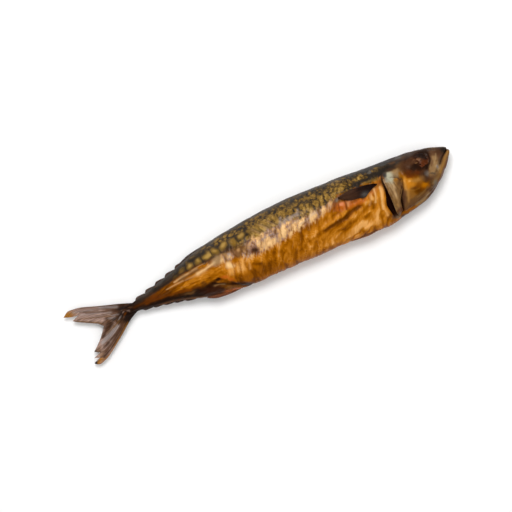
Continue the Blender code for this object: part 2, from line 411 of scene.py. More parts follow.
class Tone(Enum):
    """Colours of the smoked fish, as sRGB values out of 255."""

    PITCH = (26, 8, 4)
    CHAR = (30, 17, 11)
    SOOT = (32, 27, 22)
    UMBER = (68, 42, 26)
    COCOA = (52, 23, 8)
    RUST = (84, 38, 10)
    RUSSET = (106, 50, 4)
    BROWN = (88, 58, 38)
    BARK = (100, 68, 36)
    HUSK = (122, 88, 48)
    TAN = (140, 108, 70)
    DUSK = (128, 90, 60)
    COAL = (84, 42, 0)
    EMBER = (116, 62, 0)
    AMBER = (148, 84, 0)
    OCHRE = (176, 112, 24)
    HONEY = (186, 116, 26)
    RIND = (166, 118, 58)
    SUN = (224, 162, 88)
    FLAME = (172, 86, 20)
    CREAM = (233, 190, 132)
    ROSE = (190, 143, 90)
    FLESH = (200, 122, 82)
    BRONZE = (70, 52, 24)
    GOLD = (124, 92, 36)
    STRAW = (164, 130, 66)
    GINGER = (148, 98, 36)
    SAND = (162, 132, 92)
    SAGE = (178, 173, 148)
    SLATE = (44, 43, 43)
    GRAPHITE = (73, 68, 63)
    STEEL = (100, 98, 94)
    PEWTER = (146, 134, 130)
    MAUVE = (148, 122, 110)

    @property
    def linear(self) -> Array:
        """The tone as linear light, from 0 to 1."""
        share = np.array(self.value) / 255
        return np.where(share <= 0.04045, share / 12.92, ((share + 0.055) / 1.055) ** 2.4)

    @property
    def rgba(self) -> tuple[float, ...]:
        """The tone as a colour socket's value."""
        return (*self.linear, 1.0)

    @property
    def even(self) -> Array:
        """The tone on a scale that mixes evenly to the eye: the square root of its light."""
        return np.sqrt(self.linear)


DAUB_CORE, DAUB_END, DAUB_REACH, DRIFT_ROOM, LINE_REACH = 0.3, 1.45, 1.6, 2.5, 4.0


@dataclass(frozen=True)
class Daub:
    """A soft-edged patch of one tone. Length and height are its half sizes in mm."""

    along: float
    up: float
    length: float
    height: float
    tone: Tone
    strength: float = 1.0
    turn: float = 0.0

    def near(self, along: Array, up: Array) -> Array:
        """Which places the patch can reach."""
        reach = DAUB_REACH * max(self.length, self.height) + DRIFT_ROOM
        return np.hypot(along - self.along, up - self.up) < reach

    def weight(self, along: Array, up: Array, drift: Pair) -> Array:
        """How strongly the patch covers each place.

        Args:
            along, up: the places, in mm.
            drift: how far the outline is bent there, along and up.

        Returns:
            Shares from 0 to 1.
        """
        c, s = math.cos(math.radians(self.turn)), math.sin(math.radians(self.turn))
        dx, dy = along + drift[0] - self.along, up + drift[1] - self.up
        gap = np.hypot((dx * c + dy * s) / self.length, (dy * c - dx * s) / self.height)
        return self.strength * ease(DAUB_END, DAUB_CORE, gap)


@dataclass(frozen=True)
class Line:
    """A soft line of one tone along a smooth curve."""

    points: Curve
    width: float
    tone: Tone
    strength: float = 1.0

    def near(self, along: Array, up: Array) -> Array:
        """Which places the line can reach.

        Args:
            along, up: the places, in mm.

        Returns:
            True where the line can reach.
        """
        inside = np.ones(along.shape, bool)
        reach = LINE_REACH * self.width
        for values, places in zip((along, up), zip(*self.points)):
            inside &= (values > min(places) - reach) & (values < max(places) + reach)
        return inside

    def weight(self, along: Array, up: Array, drift: Pair) -> Array:
        """How strongly the line covers each place, its width varied by the drift."""
        gap = distance_to(self.points, along, up)
        return self.strength * bell(gap, self.width * (1 + 0.35 * drift[0]))


@dataclass(frozen=True)
class Paint:
    """Layers of patches and lines, the last one on top."""

    layers: tuple[Daub | Line, ...]
    seed: int
    wander: float = 1.0

    def fields(self, along: Array, up: Array, height: Array) -> Fields:
        """The colour left by all layers, and how much of the ground they cover.

        Args:
            along, up, height: the places, in mm.

        Returns:
            The tint as a colour, and cover from 0 to 1.
        """
        spot = (along / 6.0, up / 5.0, height / 12.0)
        drift = [self.wander * Grain(self.seed + n).rough(*spot) for n in range(2)]
        colour, cover = np.zeros((len(along), 3)), np.zeros(len(along))
        for layer in self.layers:
            near = np.flatnonzero(layer.near(along, up))
            bent = (drift[0][near], drift[1][near])
            share = np.clip(layer.weight(along[near], up[near], bent), 0.0, 1.0)
            under = cover[near] * (1 - share)
            mixed = layer.tone.even * share[:, None] + colour[near] * under[:, None]
            colour[near] = mixed / np.maximum(share + under, 1e-6)[:, None]
            cover[near] = share + under
        return {"tint": np.column_stack([colour**2, np.ones(len(along))]), "cover": cover}


# ---- mesh making


ATTRIBUTE_KINDS = {1: ("FLOAT", "value"), 3: ("FLOAT_VECTOR", "vector"), 4: ("FLOAT_COLOR", "color")}


def finish_piece(name: str, bm: bmesh.types.BMesh, material: Material) -> Object:
    """Closes a bmesh into a smooth piece of the fish.

    Args:
        name: the piece's name.
        bm: its shape in metres, which is freed.
        material: its finish.

    Returns:
        The piece, riding on the fish's body.
    """
    bmesh.ops.recalc_face_normals(bm, faces=bm.faces)
    mesh = bpy.data.meshes.new(name)
    bm.to_mesh(mesh)
    bm.free()
    mesh.shade_smooth()
    mesh.materials.append(material)
    piece = bpy.data.objects.new(name, mesh)
    bpy.context.scene.collection.objects.link(piece)
    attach(piece, BODY)
    return piece


@dataclass
class GridPiece:
    """A closed piece shaped from a grid. Each kind has its own shape and fields."""

    material: Material
    slot: ClassVar[str] = "smoked_fins"
    doubled: ClassVar[bool] = True

    def shape(self, u: Array, v: Array, w: Array) -> Array:
        """Places the grid's points.

        Args:
            u, v: places on the grid, from 0 to 1.
            w: 0 on the piece's lower skin and 1 on its upper one.

        Returns:
            The points, in mm.
        """
        raise NotImplementedError

    def dress(self, u: Array, v: Array, w: Array) -> Fields:
        """Gives the fields that the finish reads.

        Args:
            u, v, w: places on the grid, as shape takes them.

        Returns:
            A value for each point, by name.
        """
        raise NotImplementedError

    def make(self, name: str, cells: tuple[int, int]) -> Object:
        """Shapes the grid into a piece and paints it.

        Args:
            name: the piece's name.
            cells: cells along u and v.

        Returns:
            The finished piece.
        """
        bm = bmesh.new()
        bmesh.ops.create_grid(bm, x_segments=cells[0], y_segments=cells[1], size=0.5)
        bmesh.ops.translate(bm, verts=bm.verts, vec=(0.5, 0.5, 0.0))
        if self.doubled:
            made = bmesh.ops.extrude_face_region(bm, geom=bm.faces[:])
            top = [v for v in made["geom"] if isinstance(v, bmesh.types.BMVert)]
            bmesh.ops.translate(bm, verts=top, vec=(0.0, 0.0, 1.0))
        number = bm.verts.layers.int.new("number")
        uvw = np.array([vert.co[:] for vert in bm.verts]).T
        for index, (vert, place) in enumerate(zip(bm.verts, FORM.to_row(self.shape(*uvw)))):
            vert.co = place
            vert[number] = index
        bmesh.ops.remove_doubles(bm, verts=bm.verts, dist=WELD)
        piece = finish_piece(name, bm, self.material)
        mesh = piece.data
        kept = np.empty(len(mesh.vertices), np.int32)
        mesh.attributes["number"].data.foreach_get("value", kept)
        mesh.attributes.remove(mesh.attributes["number"])
        for key, values in self.dress(*uvw).items():
            kind, store = ATTRIBUTE_KINDS[values.size // len(values)]
            data = mesh.attributes.new(key, kind, "POINT").data
            data.foreach_set(store, values[kept].astype(np.float32).ravel())
        log.info("%s: %d vertices", name, len(mesh.vertices))
        return piece


# ---- node trees


@dataclass
class Nodes:
    """Short calls that add and join nodes of one tree."""

    tree: NodeTree

    def add(self, kind: str, inputs: dict | None = None, **settings: object) -> Node:
        """Adds a node.

        Args:
            kind: its Blender type.
            inputs: sockets or plain values for its inputs, by name or number.
            settings: its properties.

        Returns:
            The node.
        """
        node = self.tree.nodes.new(kind)
        for name, value in settings.items():
            setattr(node, name, value)
        self.fill(node, inputs or {})
        return node

    def fill(self, node: Node, inputs: dict) -> None:
        """Joins sockets to a node's inputs, or sets them to plain values.

        Args:
            node: the node.
            inputs: sockets or plain values, by the input's name or number.
        """
        for name, value in inputs.items():
            if isinstance(value, NodeSocket):
                self.tree.links.new(value, node.inputs[name])
            else:
                node.inputs[name].default_value = value

    def attribute(self, name: str, part: str = "Fac") -> NodeSocket:
        """A field kept on the mesh."""
        return self.add("ShaderNodeAttribute", attribute_name=name).outputs[part]

    def math(self, operation: str, *values: object) -> NodeSocket:
        """One arithmetic step."""
        return self.add("ShaderNodeMath", dict(enumerate(values)), operation=operation).outputs[0]

    def ease(self, value: object, low: float, high: float) -> NodeSocket:
        """Smooth step from 0 at low to 1 at high."""
        inputs = {"Value": value, "From Min": low, "From Max": high}
        return self.add("ShaderNodeMapRange", inputs, interpolation_type="SMOOTHSTEP").outputs[0]

    def between(self, value: object, low: float, high: float) -> NodeSocket:
        """Stretches a share from 0 to 1 between two numbers."""
        inputs = {"Value": value, "To Min": low, "To Max": high}
        return self.add("ShaderNodeMapRange", inputs).outputs[0]

    def noise(
        self, vector: object, scale: float, detail: float = 2.0, distortion: float = 0.0
    ) -> NodeSocket:
        """Soft noise around one half."""
        inputs = {"Vector": vector, "Scale": scale, "Detail": detail, "Distortion": distortion}
        return self.add("ShaderNodeTexNoise", inputs).outputs["Fac"]

    def mix(self, share: object, low: object, high: object, blend: str = "MIX") -> object:
        """Mixes two colours."""
        inputs = {0: share, 6: low, 7: high}
        return self.add("ShaderNodeMix", inputs, data_type="RGBA", blend_type=blend).outputs[2]

    def times(self, colour: object, factor: object) -> object:
        """A colour made lighter or darker by a factor."""
        return self.mix(1.0, colour, factor, "MULTIPLY")

    def swing(self, vector: object, scale: float, detail: float, distortion: float) -> object:
        """Soft noise around zero."""
        return self.math("SUBTRACT", self.noise(vector, scale, detail, distortion), 0.5)

    def ramp(self, value: object, stops: Sequence[tuple[float, Tone]]) -> object:
        """Colours by value.

        Args:
            value: a number, from 0 to 1.
            stops: the tones and their places, rising.

        Returns:
            The colour.
        """
        node = self.add("ShaderNodeValToRGB", {"Fac": value})
        band = node.color_ramp
        while len(band.elements) < len(stops):
            band.elements.new(1.0)
        for element, (place, tone) in zip(band.elements, stops):
            element.position = place
            element.color = tone.rgba
        return node.outputs["Color"]


def dry_grain_group() -> NodeTree:
    """Makes the fine relief of dried, oiled skin: pores, hair-thin wrinkles and grease mottling.

    Returns:
        A node group with Vector and Scale in, Height and Mottle out.
    """
    tree = bpy.data.node_groups.new("dry_grain", "ShaderNodeTree")
    for name, kind in (("Vector", "NodeSocketVector"), ("Scale", "NodeSocketFloat")):
        tree.interface.new_socket(name, in_out="INPUT", socket_type=kind)
    for name in ("Height", "Mottle"):
        tree.interface.new_socket(name, in_out="OUTPUT", socket_type="NodeSocketFloat")
    nodes = Nodes(tree)
    source = nodes.add("NodeGroupInput").outputs
    scaling = {"Vector": source["Vector"], "Scale": source["Scale"]}
    place = nodes.add("ShaderNodeVectorMath", scaling, operation="SCALE").outputs[0]
    pores = nodes.add("ShaderNodeTexVoronoi", {"Vector": place, "Scale": 900.0}).outputs["Distance"]
    height = nodes.math("MULTIPLY_ADD", pores, 0.35, nodes.noise(place, 420.0, 4.0, 1.2))
    nodes.add("NodeGroupOutput", {"Height": height, "Mottle": nodes.noise(place, 130.0, 3.0, 0.4)})
    return tree


class Surface(Nodes):
    """A material of the fish: a Principled shader, with the dry grain over it."""

    def __init__(self, name: str, grain: NodeTree, scale: float = 1.0) -> None:
        """Starts a material.

        Args:
            name: its name.
            grain: the dry_grain group.
            scale: how fine the grain is.
        """
        self.material = bpy.data.materials.new(name)
        self.material.use_nodes = True
        super().__init__(self.material.node_tree)
        self.place = self.add("ShaderNodeTexCoord").outputs["Object"]
        sized = {"Vector": self.place, "Scale": scale}
        self.grain = self.add("ShaderNodeGroup", node_tree=grain)
        self.fill(self.grain, sized)

    def mottle(self, low: float, high: float) -> NodeSocket:
        """The grain's grease mottling, between two numbers."""
        return self.between(self.grain.outputs["Mottle"], low, high)

    def finish(self, depth: float, inputs: dict[str, object]) -> Material:
        """Joins the shader's inputs and the grain's relief.

        Args:
            depth: the relief's depth in metres.
            inputs: the shader's inputs, by name.

        Returns:
            The material.
        """
        relief = {"Height": self.grain.outputs["Height"], "Distance": depth}
        bump = self.add("ShaderNodeBump", relief).outputs[0]
        self.fill(self.tree.nodes["Principled BSDF"], inputs | {"Normal": bump})
        return self.material


# ---- finishes


@dataclass(frozen=True)
class SkinFinish:
    """Oiled smoked skin: amber belly, pale flank band, olive-gold and slate back."""

    grain: NodeTree
    roughness: float = 0.36
    bump_depth: float = 0.00012

    def build(self) -> Material:
        """Makes the material.

        Returns:
            The skin's material, which reads the skin's fields.
        """
        nodes = Surface("smoked_skin", self.grain)
        streaks = nodes.swing(nodes.attribute("sweep", "Vector"), 1.0, 4.0, 0.6)
        flecks = nodes.swing(nodes.place, 620.0, 4.0, 0.8)
        colour = self.back(nodes, flecks, streaks, self.flesh(nodes, streaks))
        stops = ((0.3, Tone.CHAR), (0.42, Tone.UMBER), (0.55, Tone.BROWN), (0.72, Tone.BARK))
        bone = nodes.ramp(nodes.noise(nodes.place, 150.0, 3.0, 0.6), stops)
        colour = nodes.mix(nodes.attribute("skull"), colour, bone)
        cover = nodes.attribute("cover")
        share = nodes.math("MULTIPLY_ADD", nodes.math("PINGPONG", cover, 0.5), flecks, cover)
        colour = nodes.mix(share, colour, nodes.attribute("tint", "Color"))
        colour = nodes.times(colour, nodes.math("MULTIPLY_ADD", streaks, 0.25, nodes.mottle(0.84, 1.14)))
        # painted shade: near-black in the gill openings and in the sunken grooves of the head
        colour = nodes.mix(nodes.attribute("painted_recess_shade"), colour, Tone.PITCH.rgba)
        dull = nodes.math("MULTIPLY", nodes.attribute("dull"), 0.25)
        rough = nodes.math("ADD", nodes.mottle(-0.1, 0.1), dull)
        inputs = {
            "Base Color": colour,
            "Roughness": nodes.math("ADD", rough, self.roughness),
            "Coat Weight": nodes.between(nodes.attribute("wet"), 0.02, 0.24),
            "Coat Roughness": 0.27,
            "Specular IOR Level": 0.07,
            "Specular Tint": Tone.SUN.rgba,
        }
        return nodes.finish(self.bump_depth, inputs)

    def flesh(self, nodes: Surface, streaks: object) -> object:
        """Makes the amber belly, and the pale band along the flank.

        Args:
            nodes: the skin's material.
            streaks: noise drawn out across the flank.

        Returns:
            The colour.
        """
        value = nodes.math("MULTIPLY_ADD", streaks, 0.28, nodes.attribute("amber"))
        tones = (Tone.COAL, Tone.EMBER, Tone.AMBER, Tone.HONEY, Tone.SUN)
        amber = nodes.ramp(value, [(place / 4, tone) for place, tone in enumerate(tones)])
        shine = nodes.math("ADD", streaks, nodes.attribute("pale"))
        places = (0.05, 0.24, 0.42, 0.6, 1.0)
        tones = (Tone.BARK, Tone.DUSK, Tone.MAUVE, Tone.ROSE, Tone.CREAM)
        band = nodes.ramp(shine, list(zip(places, tones)))
        share = nodes.math("MULTIPLY_ADD", streaks, 1.7, nodes.attribute("band"))
        share = nodes.math("MULTIPLY", nodes.ease(share, 0.12, 0.95), 0.94)
        return nodes.mix(share, amber, band)

    def back(self, nodes: Surface, flecks: object, streaks: object, flesh: object) -> object:
        """Makes the back, from slate through bronze to gold.

        Args:
            nodes: the skin's material.
            flecks: fine noise.
            streaks: noise drawn out across the flank.
            flesh: the colour where the back doesn't reach.

        Returns:
            The colour.
        """
        value = nodes.math("MULTIPLY_ADD", flecks, 1.1, nodes.attribute("gold"))
        stops = ((0.1, Tone.SOOT), (0.35, Tone.BRONZE), (0.62, Tone.GOLD), (1.0, Tone.STRAW))
        gold = nodes.ramp(value, stops)
        ridge = nodes.mix(nodes.attribute("rim"), gold, Tone.GRAPHITE.rgba)
        share = nodes.math("MULTIPLY_ADD", streaks, 1.6, nodes.attribute("back"))
        return nodes.mix(nodes.ease(share, 0.15, 0.85), flesh, ridge)


@dataclass(frozen=True)
class FinFinish:
    """Dry fin membrane over fine rays: dark at the root, mauve-brown, amber at the tips."""

    grain: NodeTree
    roughness: float = 0.42
    bump_depth: float = 0.00012

    def build(self) -> Material:
        """Makes the material.

        Returns:
            The fins' material, which reads ray, outward, tint and cover.
        """
        nodes = Surface("smoked_fin", self.grain, 1.2)
        cloud = nodes.between(nodes.noise(nodes.place, 120.0, 3.0, 0.5), -0.3, 0.3)
        outward = nodes.math("ADD", nodes.attribute("outward"), cloud)
        stops = ((0.14, Tone.CHAR), (0.34, Tone.BROWN), (0.5, Tone.MAUVE), (0.95, Tone.MAUVE))
        base = nodes.ramp(outward, stops)
        hairs = nodes.ease(nodes.noise(nodes.attribute("sweep", "Vector"), 1.0, 3.0, 0.3), 0.3, 0.7)
        rays = nodes.between(nodes.attribute("ray"), 0.84, 1.12)
        rays = nodes.math("MULTIPLY", rays, nodes.between(hairs, 0.6, 1.36))
        painted = nodes.mix(0.8, nodes.attribute("tint", "Color"), rays, "MULTIPLY")
        base = nodes.mix(nodes.attribute("cover"), nodes.times(base, rays), painted)
        inputs = {
            "Base Color": nodes.times(base, nodes.mottle(0.8, 1.16)),
            "Roughness": nodes.mottle(self.roughness - 0.1, self.roughness + 0.1),
            "Specular IOR Level": 0.1,
        }
        return nodes.finish(self.bump_depth, inputs)


@dataclass(frozen=True)
class PlateFinish:
    """Satin bone under thin skin, as on the gill covers."""

    grain: NodeTree
    roughness: float = 0.36
    bump_depth: float = 0.0001

    def build(self) -> Material:
        """Makes the material.

        Returns:
            The plates' material, which reads tint and cover.
        """
        nodes = Surface("smoked_plate", self.grain, 0.8)
        stops = ((0.3, Tone.BARK), (0.5, Tone.HUSK), (0.72, Tone.TAN))
        base = nodes.ramp(nodes.noise(nodes.place, 170.0, 3.0, 0.8), stops)
        base = nodes.mix(nodes.attribute("cover"), base, nodes.attribute("tint", "Color"))
        veins = nodes.ease(nodes.noise(nodes.attribute("sweep", "Vector"), 1.0, 3.0, 0.5), 0.35, 0.7)
        base = nodes.times(base, nodes.between(veins, 0.78, 1.18))
        base = nodes.times(base, nodes.mottle(0.78, 1.18))
        edge = nodes.math("MULTIPLY", nodes.attribute("edge"), 0.85)
        inputs = {
            "Base Color": nodes.mix(edge, base, Tone.UMBER.rgba),
            "Roughness": nodes.mottle(self.roughness - 0.12, self.roughness + 0.1),
            "Specular IOR Level": 0.12,
            "Coat Weight": 0.18,
            "Coat Roughness": 0.2,
        }
        return nodes.finish(self.bump_depth, inputs)


@dataclass(frozen=True)
class EyeFinish:
    """A sunken smoked eye: dark, glossy, with a dull brown iris."""

    grain: NodeTree
    roughness: float = 0.4
    bump_depth: float = 0.0001

    def build(self) -> Material:
        """Makes the material.

        Returns:
            The eyes' material, which reads lens and iris.
        """
        nodes = Surface("fish_eye", self.grain)
        iris = nodes.mix(nodes.attribute("iris"), Tone.CHAR.rgba, Tone.RUST.rgba)
        # the pale patch is the eye's cloudy lens together with a painted highlight on it
        base = nodes.mix(nodes.attribute("lens"), iris, Tone.DUSK.rgba)
        inputs = {
            "Base Color": nodes.times(base, nodes.mottle(0.6, 1.3)),
            "Roughness": self.roughness,
            "Specular IOR Level": 0.1,
            "Coat Weight": 0.08,
            "Coat Roughness": 0.35,
        }
        return nodes.finish(self.bump_depth, inputs)


@dataclass(frozen=True)
class FloorFinish:
    """A plain pale studio floor."""

    tone: tuple[float, float, float, float] = (0.94, 0.94, 0.94, 1.0)
    roughness: float = 0.85

    def build(self) -> Material:
        """Makes the material.

        Returns:
            The floor's material.
        """
        material = bpy.data.materials.new("studio_floor")
        material.use_nodes = True
        nodes = Nodes(material.node_tree)
        inputs = {"Base Color": self.tone, "Roughness": self.roughness}
        nodes.fill(nodes.tree.nodes["Principled BSDF"], inputs)
        return material


# ---- relief of the skin


@dataclass(frozen=True)
class Swell:
    """A soft spot where a value rises, or sinks if the amount is negative."""

    along: float
    up: float
    length: float
    height: float
    amount: float

    def lift(self, along: Array, up: Array) -> Array:
        """How much the value changes at each place."""
        gap = np.hypot((along - self.along) / self.length, (up - self.up) / self.height)
        return self.amount * bell(gap, 1)


def swelling(swells: Sequence[Swell], along: Array, up: Array) -> Array:
    """What several swells add up to at each place."""
    return sum(swell.lift(along, up) for swell in swells)


@dataclass(frozen=True)
class Fold:
    """A pinched fold of dried skin along a smooth curve, in mm."""

    points: Curve
    depth: float
    width: float


@dataclass(frozen=True)
class Relief:
    """Everything that stands out of the smooth body or is sunk into it, in mm."""

    gill_front: Curve = ((280, 10.5), (279.5, 4), (279.5, -4), (279.7, -13), (280, -21.5))
    gill_rear: Curve = ((280, 10.5), (279.3, 4), (277.5, -4), (274.8, -13), (276, -21))
    gill_depth: float = 6.0
    cheek_rear: Curve = (
        (297, 9), (296.1, 4), (294.7, 0), (293.7, -4),
        (291.4, -8), (288.8, -12), (287.9, -16), (286.4, -22.4),
    )
    cheek_step: float = 0.9
    mouth: Curve = (
        (338.6, 8.2), (335, 5.9), (331.4, 2.9), (328.2, -0.4), (325, -3.8), (321.4, -7.2), (317.4, -10.2)
    )
    mouth_depth: float = 1.1
    throat_line: Curve = ((330, -6), (320, -14), (310, -18.6), (298, -21.2), (287, -23))
    eye: tuple[float, float] = (315.2, 9)
    socket_radius: float = 7.0
    socket_depth: float = 0.6
    fin_bed: Curve = ((276, 6.4), (266, 6), (254, 6.2), (241, 8.6))
    lateral_line: Curve = (
        (277, 13), (250, 12.2), (215, 8.2), (170, 6), (120, 3.6), (80, 1.8), (56, 0.4),
    )
    folds: tuple[Fold, ...] = (
        Fold(((256, -3.6), (248, -4.4), (240, -6.8), (230, -8), (221, -9.8)), 1, 1.5),
        Fold(((219, -9.4), (213, -11.2), (206, -12.2)), 0.5, 1.3),
        Fold(((266, -5.6), (257.5, -8), (248, -11.6), (238, -14.6), (227, -20)), 0.6, 1.7),
        Fold(((246.5, 2), (244.6, -3), (241, -7)), 0.6, 1.2),
        Fold(((218.5, 3), (217.6, -5), (213, -13), (207, -19)), 0.6, 1.5),
        Fold(((205, 0), (201, -8), (197, -16)), 0.5, 1.4),
        Fold(((190, 4), (186, -4), (181, -13)), 0.45, 1.4),
        Fold(((149, 12), (147.6, 4), (144.4, -4), (140.6, -13)), 0.7, 1.3),
        Fold(((128, -8.4), (134, -13.6), (140.5, -19.6), (147, -23.2)), 0.7, 1.2),
        Fold(((236.5, 8), (233, 2), (231.5, -4)), 0.6, 1.4),
        Fold(((269.5, 4), (268.2, -4), (264, -10)), 0.6, 1.3),
        Fold(((258, -12), (252, -17), (247.5, -22.5)), 0.4, 1.8),
        Fold(((178, -6), (172, -13), (168.5, -20)), 0.35, 1.5),
    )
    snout_crease: Curve = ((324.5, 14), (322.5, 6), (317, -1), (309, -3))
    dents: tuple[Swell, ...] = (
        Swell(303, -11, 4.16, 2.6, -0.7), Swell(313.5, -4.5, 2.2, 3.08, -0.6),
        Swell(328.6, 12.4, 0.7, 0.7, -0.6), Swell(136.5, -22.5, 2.2, 3, -0.5),
    )

    def pleats(
        self, seed: int, place: tuple[Array, Array, Array], lean_deg: float, spacing: float
    ) -> Array:
        """Swells of shrunken skin between narrow valleys.

        Args:
            seed: which pattern.
            place: places along the fish, above its axis and over the table.
            lean_deg: how far the valleys lean off the fish's axis.
            spacing: mm between valleys.

        Returns:
            0 in a valley and 1 on a swell.
        """
        x, y, z = place
        c, s = math.cos(math.radians(lean_deg)), math.sin(math.radians(lean_deg))
        bend = Grain(seed).rough(x / 12, y / 9, z / 20)
        across = (x * s - y * c) / spacing + 0.7 * bend
        run = (x * c + y * s) / (4.2 * spacing)
        coarse = Grain(seed + 1).folded(across, run, z / 25)
        fine = Grain(seed + 2).folded(2.1 * across + 5, 1.8 * run, z / 12)
        return 0.54 * coarse + 0.46 * fine

    def creases(self, x: Array, y: Array, z: Array) -> Pair:
        """The skin's wrinkles.

        Args:
            x, y: the places, in mm.
            z: heights over the table.

        Returns:
            Their height in mm, and the same pattern from 0 in its valleys to 1 on its swells.
        """
        place = (x, y, z)
        steep = self.pleats(12, place, 68, 3.4)
        long = self.pleats(22, place, 27, 4.2)
        stem = self.pleats(32, place, 7, 2.4)
        slanting = ease(212, 228, x) * ease(268, 256, x) * ease(5, -4, y)
        tailwards = ease(142, 122, x)
        pattern = steep * (1 - slanting) + long * slanting
        pattern = pattern * (1 - tailwards) + stem * tailwards
        depth = (0.12 + 0.58 * ease(15, 4, y)) * (1 - 0.45 * tailwards) * ease(284, 271, x)
        swell = 0.3 * Grain(15).rough(x / 15, y / 9, z / 15) * ease(290, 272, x)
        return depth * (pattern - 0.7) + swell, pattern

    def folded(self, x: Array, y: Array, side: Array) -> Array:
        """The long folds, a little further back on the lower flank.

        Args:
            x, y: the places, in mm.
            side: 1 on the upper flank and -1 on the lower.

        Returns:
            Their height in mm.
        """
        total = np.zeros(x.shape)
        shift = np.where(side > 0, 0, 4.5)
        for fold in self.folds:
            gap = distance_to(fold.points, x + shift, y)
            lip = 0.4 * bell(gap - 2.2 * fold.width, 1.4 * fold.width)
            total += fold.depth * (lip - bell(gap, fold.width))
        return total

    def gill_opening(self, x: Array, y: Array) -> Array:
        """How far each place is sunk into a gill opening.

        Args:
            x, y: the places, in mm.

        Returns:
            Shares from 0 to 1.
        """
        front, rear = across_curve(self.gill_front, y), across_curve(self.gill_rear, y)
        tall = ease(11, 6, y) * ease(-23.4, -20.6, y)
        return ease(front + 0.9, front - 0.3, x) * ease(rear - 0.3, rear + 0.9, x) * tall

    def throat_dark(self, x: Array, y: Array) -> Array:
        """How much painted shade each place gets in a gill opening: its floor and its walls.

        Args:
            x, y: the places, in mm.

        Returns:
            Shares from 0 to 1.
        """
        front, rear = across_curve(self.gill_front, y), across_curve(self.gill_rear, y)
        tall = ease(13, 5, y) * ease(-24.4, -22, y)
        return ease(front + 2.6, front + 1.2, x) * ease(rear - 0.2, rear + 0.8, x) * tall

    def head(self, x: Array, y: Array, z: Array) -> Array:
        """The plates, jaws and sockets of the head.

        Args:
            x, y: the places, in mm.
            z: heights over the table.

        Returns:
            Their height in mm.
        """
        on_head = ease(279, 283, x)
        cheek = across_curve(self.cheek_rear, y)
        plate = ease(cheek - 0.5, cheek + 0.5, x) * ease(12, 7, y)
        wide = 0.7 + 0.4 * ease(-8, -14, y)
        gap = bell(x - cheek + 1.1, wide) * (0.25 + 0.75 * ease(-4, -12, y)) * ease(6, 0, y)
        gap *= ease(-24, -21, y)
        lip, at_tip = distance_to(self.mouth, x, y), ease(334, 338, x)
        throat = distance_to(self.throat_line, x, y)
        eye = np.hypot(x - self.eye[0], y - self.eye[1])
        bone = Grain(21).rough(x / 6, y / 5, z / 8)
        rays = np.sin(throat * 2.6) * bell(throat, 3.4) * ease(-8, -14, y)
        return (
            -self.cheek_step * (1 - plate) * on_head * ease(8, 2, y) * ease(-26, -22, y)
            - 2.2 * gap
            + 0.3 * bell(x - cheek - 1.6, 1.2) * ease(6, 0, y)
            - self.mouth_depth * bell(lip, 0.6 + 0.3 * at_tip) * (ease(316, 336, x) + 1.3 * at_tip)
            + 0.25 * bell(lip - 2.4, 1.5)
            + 0.35 * bell(lip + 2.6, 1.6)
            - 0.5 * bell(throat, 0.8) * on_head
            + 0.16 * rays * on_head
            - self.socket_depth * ease(self.socket_radius + 0.6, self.socket_radius - 2.4, eye)
            + 0.08 * bell(eye - self.socket_radius - 1.4, 1.6) * ease(300, 304, x)
            - 0.5 * bell(distance_to(self.snout_crease, x, y), 0.9)
            + (0.2 + 0.25 * bell(eye, 10)) * bone * ease(284, 294, x)
        )

    def rest(self, x: Array, y: Array, girth: Array) -> Array:
        """The lateral line, the pectoral fin's bed, the back's groove, dents and tail keels.

        Args:
            x, y: the places, in mm.
            girth: way round from the back's ridge.

        Returns:
            Their height in mm.
        """
        line = distance_to(self.lateral_line, x, y)
        bed = distance_to(self.fin_bed, x, y)
        shoulder = across_curve(self.gill_rear, y)
        return (
            0.18 * bell(line, 0.8) * (1 + 0.5 * np.sin(x * 2.1))
            - 0.9 * ease(5.8, 3.2, np.abs(bed)) * ease(236, 246, x)
            - 0.7 * bell(girth, 1.3) * ease(186, 194, x) * ease(244, 236, x)
            + 0.8 * bell(x - shoulder + 1.7, 1.3) * ease(10, 6, y) * ease(-25, -20, y)
            + 0.5 * bell(np.abs(y) - 1.5, 0.8) * ease(68, 58, x)
            + swelling(self.dents, x, y)
        )

    def height(self, x: Array, y: Array, z: Array, side: Array, girth: Array) -> Fields:
        """All relief together.

        Args:
            x, y: the places, in mm.
            z: heights over the table.
            side: 1 on the upper flank and -1 on the lower.
            girth: way round from the back's ridge.

        Returns:
            The lift over the smooth skin, the crease that is part of it, and the pattern.
        """
        quiet = ease(340, 338.2, x) * ease(42, 46, x)
        slit = self.gill_opening(x, y)
        wrinkles, pattern = self.creases(x, y, z)
        folds = self.folded(x, y, side)
        total = wrinkles + folds + self.head(x, y, z) + self.rest(x, y, girth)
        # the pattern also sets the skin's colour, so the folds paint shade into their grooves and light onto
        # their lips
        pattern = np.clip(pattern + 0.9 * folds, 0, 1.3)
        lift = quiet * ((1 - slit) * total - self.gill_depth * slit)
        return {"lift": lift, "crease": wrinkles + folds, "pattern": pattern}


# ---- the fish's pieces


